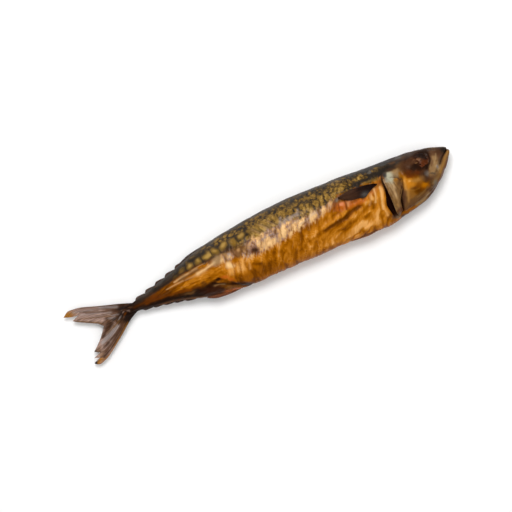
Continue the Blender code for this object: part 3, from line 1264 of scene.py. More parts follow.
CELL_WALLS = (
    ((107, 8.4), (107.2, 13.6)), ((114.8, 8.8), (114.4, 14.4)), ((122, 8.6), (121.6, 15)),
    ((131.4, 9.2), (130.6, 16.4)), ((138.6, 9.4), (137, 16.6)), ((147.2, 10), (146.2, 17)),
    ((154.6, 10.6), (153.4, 17.6)),
)
SKIN_LAYERS = (
    # tail stem
    Daub(70, -0.6, 14, 5.4, Tone.RUST, 0.7), Daub(52, 0, 16, 12, Tone.CHAR),
    Line(((56, 0), (66, 0.2), (76, 0.8)), 1.1, Tone.RUSSET, 0.6),
    # the mauve and steel daubs near the tail's root are painted glints on the keels
    Daub(48, 1.6, 2.4, 1.1, Tone.BROWN, 0.6, -30), Daub(50.6, -0.6, 1.8, 0.9, Tone.MAUVE, 0.6, -30),
    Daub(46, 0, 1.6, 0.8, Tone.MAUVE, 0.7, 10), Daub(53.6, 1.6, 2.2, 0.9, Tone.BROWN, 0.7, -10),
    Daub(46.6, -2.2, 2.4, 1, Tone.RUSSET, 0.7, 30), Daub(45.2, 2.4, 1.4, 0.8, Tone.STEEL, 0.4, -30),
    Line(((56, -3.4), (70, -4.6), (86, -6.6), (96, -9), (106, -12.4), (116, -15.8)), 2.9, Tone.CHAR),
    Daub(110, -11, 16, 3.6, Tone.CHAR, 1, -16), Daub(122, -15, 14, 5.4, Tone.COCOA, 1, -24),
    Daub(132, -20.8, 8, 2.6, Tone.RUSSET), Daub(134, -21.2, 7, 2, Tone.FLAME, 0.9, -8),
    Daub(118.4, -17.6, 5, 2.2, Tone.COCOA, 0.9, -20),
    Line(((112, -9.6), (118, -9.4), (124, -9.6)), 1.9, Tone.PITCH, 0.8),
    Line(((122, -9.2), (130, -13.2), (136, -16.6), (142, -19.6), (149, -23.4)), 1.5, Tone.PITCH, 0.9),
    Daub(126, -8, 3, 1.6, Tone.PITCH, 0.9), Daub(132.6, -8.8, 3.8, 1.5, Tone.FLAME, 0.95, -20),
    Daub(136.4, -12.4, 2.6, 1.4, Tone.FLAME, 0.7, -40),
    Line(((122.5, -11.6), (126, -12), (130, -13.8)), 0.9, Tone.TAN, 0.7),
    Line(((132, -17.2), (137, -18.8), (141, -21)), 1, Tone.BARK, 0.7),
    Daub(102, -8.6, 5, 1.6, Tone.BARK, 0.85, -10),
    Line(((82, 6.2), (98, 8.4), (110, 9.2), (122, 9.2), (134, 9.4), (143, 10.2)), 1.3, Tone.UMBER, 0.85),
    # pale sand, rose and cream streaks along the stem: the skin's pale band, with painted highlights on it
    Line(((95, 4.4), (100, 5.6), (107, 6.4), (115, 7)), 1.1, Tone.SAND, 0.6),
    Line(((76, 5.6), (84, 6.2), (93, 7.2)), 1.5, Tone.SOOT, 0.8),
    Line(((94, 4.8), (101, 5.8), (107, 6.4)), 0.8, Tone.ROSE, 0.9),
    Line(((111, 7.4), (117, 8), (123, 8.2)), 0.5, Tone.ROSE, 0.6),
    Line(((98, 4.2), (108, 4.8), (120, 5.8)), 0.8, Tone.BARK, 0.7),
    Line(((86, 2), (94, 2.6), (101, 2.8)), 0.7, Tone.ROSE, 0.7),
    Line(((103, 2.4), (112, 2.6), (118, 3)), 0.8, Tone.ROSE, 0.45),
    Line(((114, 2.8), (122, 3.8), (130, 5.4)), 1.2, Tone.CREAM, 0.7),
    Line(((66, -1.4), (76, -2.2), (88, -3.4), (98, -4.4)), 1, Tone.RUSSET, 0.7),
    Daub(101, -5, 6, 1.4, Tone.RUSSET, 0.8, -8), Daub(68, 3.2, 8, 1.5, Tone.SOOT, 0.55, 10),
    Line(((84, -5.2), (78, -4.8), (70, -4)), 1.6, Tone.CHAR, 0.9),
    Daub(114.6, -6.6, 3, 1.6, Tone.CHAR, 0.55, -10), Daub(108.4, -7.6, 3, 1, Tone.RUST, 0.6, -20),
    # flank
    Daub(133, 5.8, 5.4, 3.6, Tone.SAND, 0.7, 20), Daub(142, 5.6, 2.4, 3.2, Tone.ROSE, 0.43, 60),
    Daub(147.5, 5, 3, 5.5, Tone.DUSK, 0.5, 70), Daub(137.8, 7.2, 1.8, 1.4, Tone.ROSE, 0.6, 20),
    # the pewter and cream daubs at 142 are a painted highlight on the band
    Daub(142.8, 4.4, 2.4, 1.1, Tone.PEWTER, 0.8, 70), Daub(142.6, 3.8, 1.2, 0.7, Tone.CREAM, 0.7, 70),
    Daub(151.8, 6.4, 2.2, 1.3, Tone.ROSE, 0.6, 30), Daub(156, 3.2, 1.4, 2.2, Tone.ROSE, 0.5, -20),
    Daub(160.2, 6.4, 2.8, 1.2, Tone.ROSE, 0.6, 24),
    Line(((146.2, 9.6), (147.2, 5), (148.8, 1)), 0.6, Tone.UMBER, 0.7),
    Line(((153.4, 8.8), (154, 4.6), (155, 1)), 0.5, Tone.BROWN, 0.6),
    Line(((138.8, 8.6), (139.6, 5), (141, 1.6)), 0.5, Tone.BARK, 0.6),
    Line(((144, 10.4), (152, 9.6), (164, 9.4)), 1, Tone.UMBER, 0.75),
    # the pewter daub and lines are painted sheen on the band
    Daub(199, 11.6, 9, 2, Tone.PEWTER, 0.35, 4),
    Line(((168, 4.6), (174, 6), (182, 5.8)), 0.8, Tone.PEWTER, 0.4),
    Line(((205, 3.6), (212, 5), (220, 6.8)), 0.7, Tone.PEWTER, 0.5),
    Line(((176, 8.6), (182, 8), (188, 9)), 0.7, Tone.BARK, 0.5),
    # the cream patch at 140 and the sun streaks are painted highlights, and the russet streaks between them
    # painted shade, on the folds below the band
    Daub(140.2, -2, 3.7, 3.1, Tone.CREAM, 1, 10), Daub(140, -2.4, 2.4, 2, Tone.CREAM, 0.58, 40),
    Daub(139.4, -7, 2.6, 3.2, Tone.SUN, 0.6, -14), Line(((146, -3.4), (144.6, -9.6)), 0.9, Tone.SUN, 0.6),
    Line(((151.2, -1.6), (149.6, -9.6)), 1.1, Tone.SUN, 0.65),
    Line(((155.6, -5.4), (154, -11.6)), 0.8, Tone.SUN, 0.5),
    Line(((143, -1), (141.8, -8), (140, -14)), 0.6, Tone.RUSSET, 0.5),
    Line(((148.4, -2), (147, -8), (145, -15)), 0.7, Tone.RUSSET, 0.6),
    Line(((153.4, -3), (152.2, -9)), 0.6, Tone.RUSSET, 0.5), Daub(163, 0.8, 4.2, 3.6, Tone.RUST, 0.9),
    # from the cream daub at 178 on, the cream and rose streaks up to 236 are painted highlights on the band's
    # wrinkles
    Daub(163.2, 0.9, 2.4, 2.2, Tone.CHAR, 0.7), Daub(178, 0.6, 6, 2.2, Tone.CREAM, 0.36),
    Daub(190, 2.2, 3, 2.2, Tone.CREAM, 0.4, 50), Daub(216.5, 5.6, 3.2, 2.8, Tone.CREAM, 0.36, 50),
    Line(((171.4, -1.4), (173, 2.4), (174.6, 5.4)), 0.8, Tone.CREAM, 0.5),
    Line(((176, 0), (178.4, 3.4)), 1, Tone.CREAM, 0.58),
    Line(((181, -1), (182.4, 2.6)), 0.7, Tone.CREAM, 0.58),
    Line(((183, -4.4), (184.6, -0.6)), 0.7, Tone.ROSE, 0.5),
    Line(((188.6, 0.4), (190.6, 4.4), (191.6, 8)), 1, Tone.CREAM, 0.65),
    Line(((193.4, -2.4), (194.8, 1.6)), 0.8, Tone.ROSE, 0.5),
    Line(((195.4, 4.6), (201, 6.6), (208.6, 7)), 0.8, Tone.CREAM, 0.43),
    Line(((202, -0.6), (204.4, 3.8)), 0.9, Tone.CREAM, 0.5),
    Line(((206.4, 0), (208.6, 4.6)), 0.7, Tone.ROSE, 0.5),
    Line(((213.6, 2.6), (215.6, 6.6), (217.8, 9.6)), 1, Tone.CREAM, 0.65),
    Line(((218.6, 4.2), (220.4, 8.4)), 0.7, Tone.CREAM, 0.5),
    Line(((224.6, 2.4), (227, 6.6)), 0.9, Tone.CREAM, 0.43),
    Line(((229.6, 3.8), (232.4, 9)), 0.9, Tone.ROSE, 0.43),
    Line(((233.6, 5.6), (236.6, 11.6)), 1, Tone.ROSE, 0.36),
    # the pewter lines are painted sheen on the lower back
    Line(((189.6, 8.4), (191.4, 12), (193, 15)), 0.9, Tone.PEWTER, 0.5),
    Line(((193.6, 9.6), (195.8, 12.8)), 0.8, Tone.PEWTER, 0.36),
    Line(((198.4, 10.4), (203, 12.4), (206.6, 12.8)), 0.8, Tone.PEWTER, 0.36),
    Line(((206, 11), (208.4, 15.4)), 0.9, Tone.PEWTER, 0.43),
    Line(((184.2, 5), (186.6, 10.4)), 0.8, Tone.BARK, 0.8),
    Line(((187.6, 1.6), (189.2, 8)), 0.5, Tone.BARK, 0.7),
    Line(((196.8, 2), (199.6, 8.6)), 0.7, Tone.DUSK, 0.7),
    Line(((210, 2.6), (212, 9.4)), 0.6, Tone.BARK, 0.8),
    Line(((221.6, 2), (223.4, 8)), 0.7, Tone.BARK, 0.8),
    Line(((170, 2.2), (173, 8.6)), 0.7, Tone.DUSK, 0.8),
    Line(((157, 0), (159.6, 8)), 0.8, Tone.BARK, 0.7),
    # gold row along the back's lower edge
    Line(((100, 12.6), (112, 14.9), (122, 16.2), (131, 17.4)), 1.2, Tone.SOOT, 0.8),
    Line(((96, 8.6), (111, 10.8), (126.5, 12.2), (142, 13.6), (158, 14.6), (166, 15.4)), 2.5, Tone.SOOT, 0.5),
    Daub(96.6, 8.8, 2.6, 1.5, Tone.BRONZE, 0.9, 14), Daub(103, 10.6, 2.8, 1.5, Tone.GOLD, 0.65, 16),
    Daub(110.8, 11.3, 4, 2.4, Tone.GOLD, 1, 16), Daub(110.4, 11.4, 1.8, 1.2, Tone.STRAW, 0.8, 16),
    Daub(118.3, 11.9, 3.6, 2.5, Tone.GOLD, 1, 30), Daub(118.6, 12.4, 1.6, 1.1, Tone.STRAW, 0.6, 30),
    Daub(127.4, 12.3, 5, 2.9, Tone.GOLD, 1, 4), Daub(128, 12.2, 4, 2.1, Tone.STRAW, 1, 4),
    Daub(134.8, 13, 3.9, 3.3, Tone.GOLD, 1, -50), Daub(134.8, 13.2, 1.6, 1.4, Tone.STRAW, 0.6, -50),
    Daub(142.4, 14, 4.6, 3.1, Tone.GOLD, 1, 20), Daub(142.6, 14.6, 2.4, 1.6, Tone.STRAW, 0.9, 20),
    Daub(150.6, 14, 3.5, 3.2, Tone.GOLD, 1, -60), Daub(158.4, 15.3, 3.4, 2.6, Tone.GOLD, 1, 16),
    Daub(158.5, 15.5, 2.2, 1.6, Tone.STRAW, 0.8, 16), Daub(165.4, 16.2, 2.6, 2, Tone.GOLD, 0.8, 0),
    Line(((114, 14.8), (120, 15.6), (126, 16.2)), 1.2, Tone.SOOT, 0.85),
    Line(((168.4, 16.4), (172.6, 11.2)), 0.9, Tone.TAN, 0.65),
    Line(((175.6, 17.4), (179.8, 12.2)), 0.9, Tone.TAN, 0.65),
    Line(((183, 17), (187.2, 11.8)), 0.9, Tone.TAN, 0.65),
    Line(((172.2, 17.8), (175.4, 11.4)), 0.7, Tone.GOLD, 0.8),
    Line(((179.4, 17.2), (182.6, 10.8)), 0.7, Tone.GOLD, 0.8),
    Line(((170.4, 16.2), (174.2, 11.4)), 0.5, Tone.SOOT, 0.65),
    Line(((177.6, 16.8), (181.4, 12)), 0.5, Tone.SOOT, 0.65),
    Line(((185, 15.6), (188.8, 10.8)), 0.5, Tone.SOOT, 0.65),
    Line(((174, 15.2), (176.6, 10.4)), 0.45, Tone.SOOT, 0.6),
    Line(((181.4, 15.6), (184, 10.8)), 0.45, Tone.SOOT, 0.6),
    *(Line(wall, 0.45, Tone.SOOT, 0.75) for wall in CELL_WALLS),
    # raw patches under the pectoral fin, and painted shade under the fin
    Daub(248, 2.4, 13, 4.4, Tone.FLAME, 0.85, -8), Daub(237.6, 6.6, 1.8, 4.6, Tone.RUSSET, 0.8, -24),
    Daub(239.6, 2.6, 3, 4, Tone.FLAME, 0.6, -20), Daub(242.2, 4.8, 2, 2.6, Tone.FLESH, 0.95, 50),
    Daub(247.8, 2.6, 2.3, 1.5, Tone.FLESH, 0.8, -10), Line(((247, 3.6), (246, 0.4)), 0.6, Tone.ROSE, 0.6),
    Line(((251.6, 2.2), (250.8, -0.6)), 0.5, Tone.ROSE, 0.5),
    Line(((245.6, 7.4), (245.2, 3.4), (243.8, -1.4)), 0.7, Tone.RUST, 0.75),
    Line(((239.6, 5.6), (238.4, 0.4)), 0.6, Tone.RUST, 0.6),
    Line(((254, 2), (253, -2)), 0.6, Tone.RUST, 0.5), Daub(256, -0.6, 8, 2.4, Tone.FLAME, 0.7),
    # the char, soot and umber daubs are painted shade under the fin and in its bed
    Daub(270, 3, 5, 3.4, Tone.FLESH, 0.5, 30), Daub(257, 7.6, 18, 3.2, Tone.CHAR, 1, -6),
    Daub(262, 2.4, 3.4, 2, Tone.SOOT, 0.9, 20), Daub(252.4, 4.2, 6.4, 1.8, Tone.UMBER, 0.9, -12),
    Daub(251.4, 1.8, 3.6, 1.5, Tone.RUSSET, 0.55, -8), Daub(240, 9.6, 3, 1.6, Tone.STEEL, 0.6, 20),
    Line(((264, 11.6), (270, 11.2), (277, 10)), 1.1, Tone.GOLD, 0.7),
    # shoulder, with painted highlights on its ridge and folds
    Daub(271, -4, 4.4, 12, Tone.HONEY, 0.5, -10),
    # the sun line is a painted highlight along the shoulder's raised ridge
    Line(((277, 5), (275.4, -1), (273.2, -7), (271.6, -14), (272, -19)), 1.2, Tone.SUN, 0.75),
    Daub(277.4, 6.4, 2.6, 3.4, Tone.RUSSET, 0.7, 0), Daub(278.4, -23.4, 4.6, 2.4, Tone.BROWN),
    Daub(279.8, -24.8, 2.6, 1.6, Tone.STEEL, 0.6),
    # the cream and rose lines are painted highlights on the shoulder's folds
    Line(((275.6, 4), (274, -2), (271.6, -9), (270.4, -14)), 0.8, Tone.CREAM, 0.5),
    Line(((270.6, 4.4), (269.6, -1), (267.4, -6)), 0.9, Tone.CREAM, 0.55),
    Line(((266.2, 1.6), (264.4, -3), (262, -6)), 0.8, Tone.ROSE, 0.5),
    # painted shade in the gap under the gill cover's upper rear edge
    Line(((278.9, 2), (279.5, 8), (281, 12), (284, 15.6)), 1.1, Tone.SOOT),
    # painted shade in the groove of the first long fold
    Line(((254, -3.6), (248, -4.4), (240, -6.8), (230, -8), (222, -9.6)), 1.1, Tone.COAL, 0.65),
    # crown
    Line(((270, 21), (292, 19.8), (306, 18.2), (320, 15), (334, 10.4)), 2.6, Tone.SLATE, 0.75),
    Line(((272, 15.4), (284, 14.6), (296, 15)), 2.3, Tone.SOOT, 0.9),
    Daub(279.6, 18.2, 2.4, 0.9, Tone.GOLD, 0.7, -6), Daub(273.2, 17.8, 1.7, 1, Tone.STEEL, 0.6, 30),
    Daub(286.4, 18.6, 3, 1, Tone.STEEL, 0.3, -4), Daub(293, 17.4, 3.6, 1.1, Tone.BROWN, 0.7, -10),
    Daub(303, 17, 3.2, 1.2, Tone.BROWN, 0.6, -10), Daub(299, 19.2, 3.4, 1, Tone.STEEL, 0.5, -8),
    Line(((296, 15.6), (308, 15.4), (318, 13.6)), 1.2, Tone.SLATE, 0.5),
    Daub(297.5, 10.4, 6, 4.6, Tone.BARK, 0.8), Daub(291, 10.4, 6.6, 2, Tone.HUSK, 0.9, -6),
    Daub(285.8, 8.6, 4.6, 3.6, Tone.SAGE, 0.9), Daub(293, 7.4, 4.4, 3.4, Tone.SAND, 0.65),
    Daub(287, 13.2, 8, 2.2, Tone.SOOT, 0.9, -6), Daub(282.6, 10.6, 2.2, 2, Tone.SLATE, 0.8, -30),
    Daub(289.4, 12.2, 3.6, 1.4, Tone.UMBER, 0.6, -6), Daub(296, 3.4, 2.2, 4, Tone.GINGER, 0.8),
    # cheek
    Daub(300, -2.6, 7, 7.6, Tone.OCHRE, 1, -20), Daub(300.6, -3.8, 3.6, 2.4, Tone.HONEY, 0.6, 10),
    Daub(297.4, 2.8, 3.6, 4, Tone.AMBER, 0.8), Daub(301.4, 3.8, 4.4, 3.2, Tone.RUSSET, 0.9, -24),
    Daub(306.2, -4.2, 5.4, 3, Tone.GINGER, 0.9, -10), Daub(305, -0.2, 4.4, 2.2, Tone.EMBER, 0.8, -20),
    Daub(302.8, -12.4, 6.6, 4.2, Tone.COAL, 1, 4), Daub(304.6, -8.2, 4, 2.2, Tone.EMBER, 0.7),
    Daub(309.6, -9.6, 4.8, 3.2, Tone.AMBER, 1, 12), Daub(297, -13.4, 3.4, 4.6, Tone.GINGER, 0.7, 10),
    Line(((297.2, 2), (296.2, -3), (295, -8), (293.6, -12), (291.8, -17)), 1.3, Tone.RIND, 0.75),
    # painted shade in the gap between the cheek plate and the gill cover
    Line(((291.6, -13), (290.2, -17), (288.6, -21)), 0.9, Tone.BARK, 0.7),
    Daub(299, -17.6, 10, 3.2, Tone.BARK, 0.9, 12),
    Line(((314, -14.8), (309, -18.2), (304, -20.6), (297, -22.2)), 1.2, Tone.TAN, 0.9),
    Line(((311, -12.6), (306, -15), (300, -16.4)), 0.7, Tone.HUSK, 0.6),
    Daub(312.8, -15.2, 2.8, 1.8, Tone.UMBER, 0.8, 40), Daub(290, -23.8, 10, 1.5, Tone.AMBER, 0.75, 5),
    Daub(296.8, -3.4, 2.4, 5.4, Tone.HONEY, 0.85, -6), Daub(302.6, 0.7, 4.2, 2.4, Tone.RUSSET, 1, -24),
    Daub(301.6, -6.4, 3.2, 1.8, Tone.HONEY, 0.5), Daub(309.4, -9.4, 3.2, 2, Tone.HONEY, 0.4),
    Line(((298.6, -1), (302, -3.4), (307, -4.4)), 0.7, Tone.RIND, 0.4),
    Line(((295.6, 0.4), (294.8, -3), (293.8, -7)), 1.1, Tone.SUN, 0.35),
    Daub(300.4, 0.5, 3, 1.8, Tone.RUSSET, 0.85, -14),
    Line(((296.6, -9), (300, -10.6), (304, -11)), 0.8, Tone.GINGER, 0.5),
    Daub(299.4, -2.6, 1.3, 0.8, Tone.SUN, 0.5, -20),
    # round the eye
    Daub(308.5, 6.8, 11.5, 7.8, Tone.COCOA, 1, -8), Daub(317, 7.6, 9.4, 9.4, Tone.COCOA, 1, -12),
    Daub(303.4, 9.6, 5.4, 4.6, Tone.UMBER, 0.8), Daub(303.4, 4, 3.4, 1.8, Tone.RUST, 0.8, -20),
    Daub(308.4, 5.6, 4.6, 3.4, Tone.CHAR, 0.8), Daub(315.4, 13.4, 4.8, 2, Tone.CHAR, 0.8, -10),
    Daub(319.4, 13, 5.4, 3.2, Tone.CHAR, 0.9, -20), Daub(316, 3.4, 4.8, 2.8, Tone.CHAR, 0.9),
    Daub(309.4, 0.6, 3.4, 1.8, Tone.RUST, 0.8, -20), Daub(313.2, -1.4, 3, 3.8, Tone.UMBER, 0.8),
    Daub(312.8, -6.2, 2.8, 3, Tone.UMBER, 0.8), Daub(310.6, -4, 2.4, 2.4, Tone.BARK, 0.6),
    Daub(308.8, 10.2, 3.2, 1.6, Tone.BROWN, 0.65, 10), Daub(309.6, 12, 1.3, 0.6, Tone.DUSK, 0.5, 20),
    Daub(310.4, 8.2, 1.5, 0.7, Tone.ROSE, 0.4, -30), Daub(319, 6, 1.5, 2, Tone.RUST, 0.7, 20),
    # snout and jaws
    Daub(326, 4.6, 4.4, 8, Tone.TAN, 1, -14), Daub(320.6, -2.6, 4.2, 5.4, Tone.TAN, 0.95, -34),
    Daub(325.2, -1.8, 2.4, 2.4, Tone.SAND, 0.8, -30), Daub(326.6, 10.8, 3.8, 2.6, Tone.BROWN, 0.9, -20),
    Daub(331.4, 9.2, 4.4, 3.4, Tone.UMBER, 0.95, -30), Daub(335.6, 8.8, 3.2, 2.8, Tone.SOOT, 0.95),
    Daub(330.2, 5.4, 3, 3.4, Tone.BROWN, 0.7, -35), Daub(320.6, 0.6, 2.8, 3, Tone.TAN, 0.8, -34),
    Line(((338.6, 5.6), (334, 1.6), (329, -3.4), (323, -8.4), (317, -12)), 2, Tone.HUSK, 0.95),
    Line(((336, 1), (331, -4), (325, -9.4), (318, -14)), 1, Tone.RUSSET, 0.5),
    Daub(317.6, -13.2, 4.2, 1.7, Tone.STEEL, 0.65, 40),
    # painted shade in the mouth's groove between the jaws
    Line(((338.6, 8.4), (335, 6.3), (331.4, 3.3), (328.4, 0.2)), 0.8, Tone.CHAR, 0.75),
    Line(((338.4, 6.4), (334, 2.8), (329.6, -1.8), (325, -6.2)), 1, Tone.RIND, 0.6),
    Line(((321.6, 12.4), (322.4, 8), (320, 4.2), (315.6, 1)), 0.9, Tone.CHAR, 0.8),
    # the sand and pewter daubs at 325 are a painted glint on the snout's plate
    Daub(325, -1.6, 1.6, 1.3, Tone.SAND, 0.9, 50), Daub(325.2, -1.2, 1, 0.9, Tone.PEWTER, 0.8, 50),
    Daub(314.8, -2.6, 2, 2.8, Tone.STEEL, 0.6),
    Line(((332, 6), (328.2, 2.4), (324.6, -1.6), (320, -5.6)), 0.7, Tone.SLATE, 0.3),
    Line(((323.6, 10.4), (323.2, 5.4), (320.8, 1.4)), 0.6, Tone.BROWN, 0.6),
    Line(((328.4, 9), (326.6, 5.4), (323.6, 2.2)), 0.6, Tone.SAND, 0.6),
    Daub(319, -5, 2, 1, Tone.SLATE, 0.5, -30), Daub(322.4, -3.6, 1.4, 0.8, Tone.BARK, 0.6, 40),
    Daub(326.6, 3.2, 1.4, 0.7, Tone.BARK, 0.5, 60),
)


@dataclass
class SkinPiece(GridPiece):
    """The body's and head's skin, one closed mesh."""

    slot = "smoked_skin"
    doubled = False
    relief: Relief = Relief()
    rings: int = 428
    round: int = 226
    dense_from: float = 234.0
    density: float = 1.75
    upper_share: float = 0.56
    steps: int = 400
    back_limit: Curve = (
        (42, -12), (56, 0), (66, 2.6), (80, 4.6), (100, 8.4), (130, 9.6), (150, 9),
        (170, 10.6), (185, 10.6), (200, 10.2), (215, 9.2), (228, 9.2), (240, 11.4),
        (270, 11), (282, 11.6), (300, 14), (320, 14.6), (334, 9.4), (340, 7),
    )
    cell_lengths: Curve = (
        (60, 6), (110, 7.4), (152, 7.4), (172, 4.2), (188, 4.4),
        (205, 5.4), (232, 5), (250, 3.8), (290, 3.6),
    )
    band_limit: Curve = (
        (80, 5), (124, 3.4), (136, 3), (150, 0.4), (160, -2), (172, -3.2), (181, -1),
        (190, -1.6), (198, 1.8), (204, 1.2), (211, 2.2), (218, 2.6), (226, 4.6),
        (236, 6.6), (246, 9),
    )
    gold_row: Curve = ((96, 9.4), (111, 11.1), (126.5, 12.6), (142, 14), (158, 15), (170, 17))
    # lighter and darker patches of the amber: mostly the skin's own tone, but the strong lighter ones low on
    # the belly from 224 to 266 along are painted satin highlights
    amber_and_highlight_swells: tuple[Swell, ...] = (
        Swell(144, -5, 6, 7, 0.22), Swell(157, -4, 10, 4.5, 0.26), Swell(152, -16, 16, 6, -0.26),
        Swell(150, -9.4, 7, 3.4, 0.36), Swell(200, -17, 8, 5, 0.12), Swell(224, -16, 16, 8, 0.2),
        Swell(232, -3, 9, 3, 0.04), Swell(250, -9.8, 7, 2.6, 0.24), Swell(226, -21, 14, 3, 0.22),
        Swell(225, -8.4, 8, 1.6, -0.14), Swell(250, -1.6, 5, 2, 0.14), Swell(130, -1.6, 8, 4, 0.16),
        Swell(251, -18.4, 9, 4.4, 0.56), Swell(264, -16, 5, 4, 0.22), Swell(262, -24, 9, 2.4, 0.24),
        Swell(266, -8, 8, 12, 0.24), Swell(238, -7.5, 14, 2, -0.12), Swell(114, -0.5, 14, 2.4, 0.08),
        Swell(108, -8, 20, 3.4, -0.26), Swell(80, 0, 20, 7, -0.32), Swell(176, -24, 80, 1.8, -0.12),
    )
    pale_swells: tuple[Swell, ...] = (Swell(200, 12, 14, 3.4, -0.2), Swell(199, 3.4, 17, 3.4, 0.26))
    gold_swells: tuple[Swell, ...] = (
        Swell(182, 14, 12, 5, 0.12), Swell(200, 20, 9, 3, 0.14),
        Swell(203, 15.6, 6, 2.4, -0.16), Swell(226, 20, 10, 3, -0.1),
    )
    paint: Paint = Paint(SKIN_LAYERS, 100)
    known: Fields = field(default_factory=dict, init=False)

    def places(self, u: Array, v: Array) -> Pair:
        """Turns grid coordinates into places on the body.

        Args:
            u, v: places on the grid, from 0 to 1.

        Returns:
            Places along the fish, and ways round it.
        """
        scale = np.linspace(*FORM.ends, self.steps)
        weight = 1 + (self.density - 1) * ease(self.dense_from - 12, self.dense_from + 12, scale)
        weight += 3 * ease(333, 340, scale)
        run = np.concatenate([[0], np.cumsum(weight[1:] + weight[:-1])])
        along = np.interp(u, run / run[-1], scale)
        turn = np.interp(v, (0, self.upper_share, 1), (0, 0.5, 1))
        return along, turn

    def cells_before(self, along: Array) -> Array:
        """How many of the back's cells lie before each place, by their changing length.

        Args:
            along: the places, in mm.

        Returns:
            A count for each place.
        """
        tail, snout = FORM.ends
        scale = np.linspace(tail - 20, snout + 20, self.steps)
        length = along_curve(self.cell_lengths, scale)
        count = np.concatenate([[0], np.cumsum(np.diff(scale) * 2 / (length[1:] + length[:-1]))])
        return np.interp(along, scale, count)

    def measure(self, u: Array, v: Array) -> Fields:
        """Everything the shape and the fields need, worked out once.

        Args:
            u, v: places on the grid, from 0 to 1.

        Returns:
            A value for each point, by name.
        """
        if not self.known:
            along, turn = self.places(u, v)
            base = FORM.skin(along, turn)
            side = np.where(turn <= 0.5, 1, -1)
            girth = FORM.girth(along, turn)
            _, up, height = base.T
            self.known = {"along": along, "up": up, "height": height, "turn": turn, "base": base}
            self.known |= {"girth": girth} | self.relief.height(along, up, height, side, girth)
        return self.known

    def shape(self, u: Array, v: Array, _w: Array) -> Array:
        """The skin with its relief, pressed flat on the table."""
        m = self.measure(u, v)
        return on_table(m["base"] + FORM.normal(m["along"], m["turn"]) * m["lift"][:, None])

    def flesh(self, m: Fields) -> Fields:
        """How light the amber is, where the pale band lies, and how light that is.

        Args:
            m: what measure gives.

        Returns:
            The fields amber, band and pale.
        """
        x, y, z = m["along"], m["up"], m["height"]
        limit = along_curve(self.band_limit, x)
        cloud = Grain(71).rough(x / 14, y / 8, z / 16)
        reach = y - limit + 3.6 * (m["pattern"] - 0.65)
        band = ease(118, 134, x) * ease(247, 230, x) * ease(-4.6, 3.4, reach)
        mottled = 0.4 * m["pattern"] + 0.46 * Grain(72).rough((x - 0.4 * y) / 3.2, y / 4.6, z / 9)
        dusky = 0.3 * bell(x - 152, 12) + 0.16 * ease(212, 236, x)
        dusky += 0.3 * ease(166, 156, x) * ease(3, 8, y)
        return {
            # amber and pale follow the crease pattern: painted shade in the valleys and painted light on the
            # swells
            "amber": 0.15 + 0.46 * m["pattern"] + 0.15 * cloud + swelling(self.amber_and_highlight_swells, x, y),
            "band": band,
            "pale": 0.28 + mottled - dusky + swelling(self.pale_swells, x, y),
        }

    def back(self, m: Fields) -> Fields:
        """Where the dark back lies, and how gold it is: rounded cells, slanted strokes and bars.

        Args:
            m: what measure gives.

        Returns:
            The fields back, gold, rim and dull.
        """
        x, y, z = m["along"], m["up"], m["height"]
        limit = along_curve(self.back_limit, x)
        reach = np.abs(m["girth"])
        bend = [Grain(73 + n).rough(x / 7, m["girth"] / 7) for n in range(2)]
        tall = steady_curve((60, 160, 200, 225, 245), (5, 5, 7.5, 8, 4), x)
        across = self.cells_before(x - 0.12 * reach) + 0.3 * bend[0]
        cells = ease(-0.1, 0.9, Grain(75).cells(across, m["girth"] / tall + 0.3 * bend[1]))
        fine = Grain(76).rough((x - 0.3 * y) / 2, m["girth"] / 3.4, z / 8)
        patchy = Grain(80).rough((x - 0.3 * y) / 4.4, m["girth"] / 5, z / 9)
        tidy = 0.26 + 0.24 * ease(170, 158, x) - 0.14 * bell(x - 184, 14)
        slant = (0.82 * x + 0.57 * y) / 2.1 + 0.5 * bend[1]
        strokes = 1 - Grain(77).folded(slant, (0.57 * x - 0.82 * y) / 9, 0 * x)
        strokes *= 0.8 * ease(160, 167, x) * ease(200, 190, x) * ease(24, 17, y)
        bars = ease(0.35, 0.9, np.cos(2 * np.pi * ((x - 0.3 * y) / 5.7 + 0.35 * bend[0])))
        bars *= ease(196, 204, x) * ease(244, 236, x) * ease(20, 14, y)
        gold = 0.4 + tidy * (cells - 0.4) + 0.2 * fine + 0.14 * patchy - 0.4 * strokes - 0.3 * bars
        row = along_curve(self.gold_row, x)
        gold = np.where(x < 168, gold - 0.5 * bell(y - row, 3.4) * ease(168, 160, x), gold)
        gold += 0.16 * ease(20, 15, y) * ease(150, 172, x) - 0.18 * ease(18, 24, y)
        gold += 0.12 * bell(x - 176, 9) + swelling(self.gold_swells, x, y)
        gold -= 0.3 * ease(248, 262, x) * (1 - bell(y - 17.8, 1.8))
        gold -= 0.3 * ease(238, 248, x) * ease(16.5, 13.5, y)
        ragged = 1.7 * Grain(78).rough(x / 3.4, y / 4, z / 9) + 1.5 * (m["pattern"] - 0.6) + 1.6 * bars
        ragged *= ease(70, 110, x) * ease(284, 276, x)
        return {
            "back": ease(-2.6, 2.6, y - limit + ragged) + 0.5 * ease(5, 10, y - limit),
            "gold": gold * ease(84, 106, x) * ease(296, 270, x) * (0.35 + 0.65 * ease(2.5, 8, reach)),
            "rim": 0.72 * ease(10.5, 2, reach + 3 * patchy),
            "dull": ease(9, 2, reach),
        }

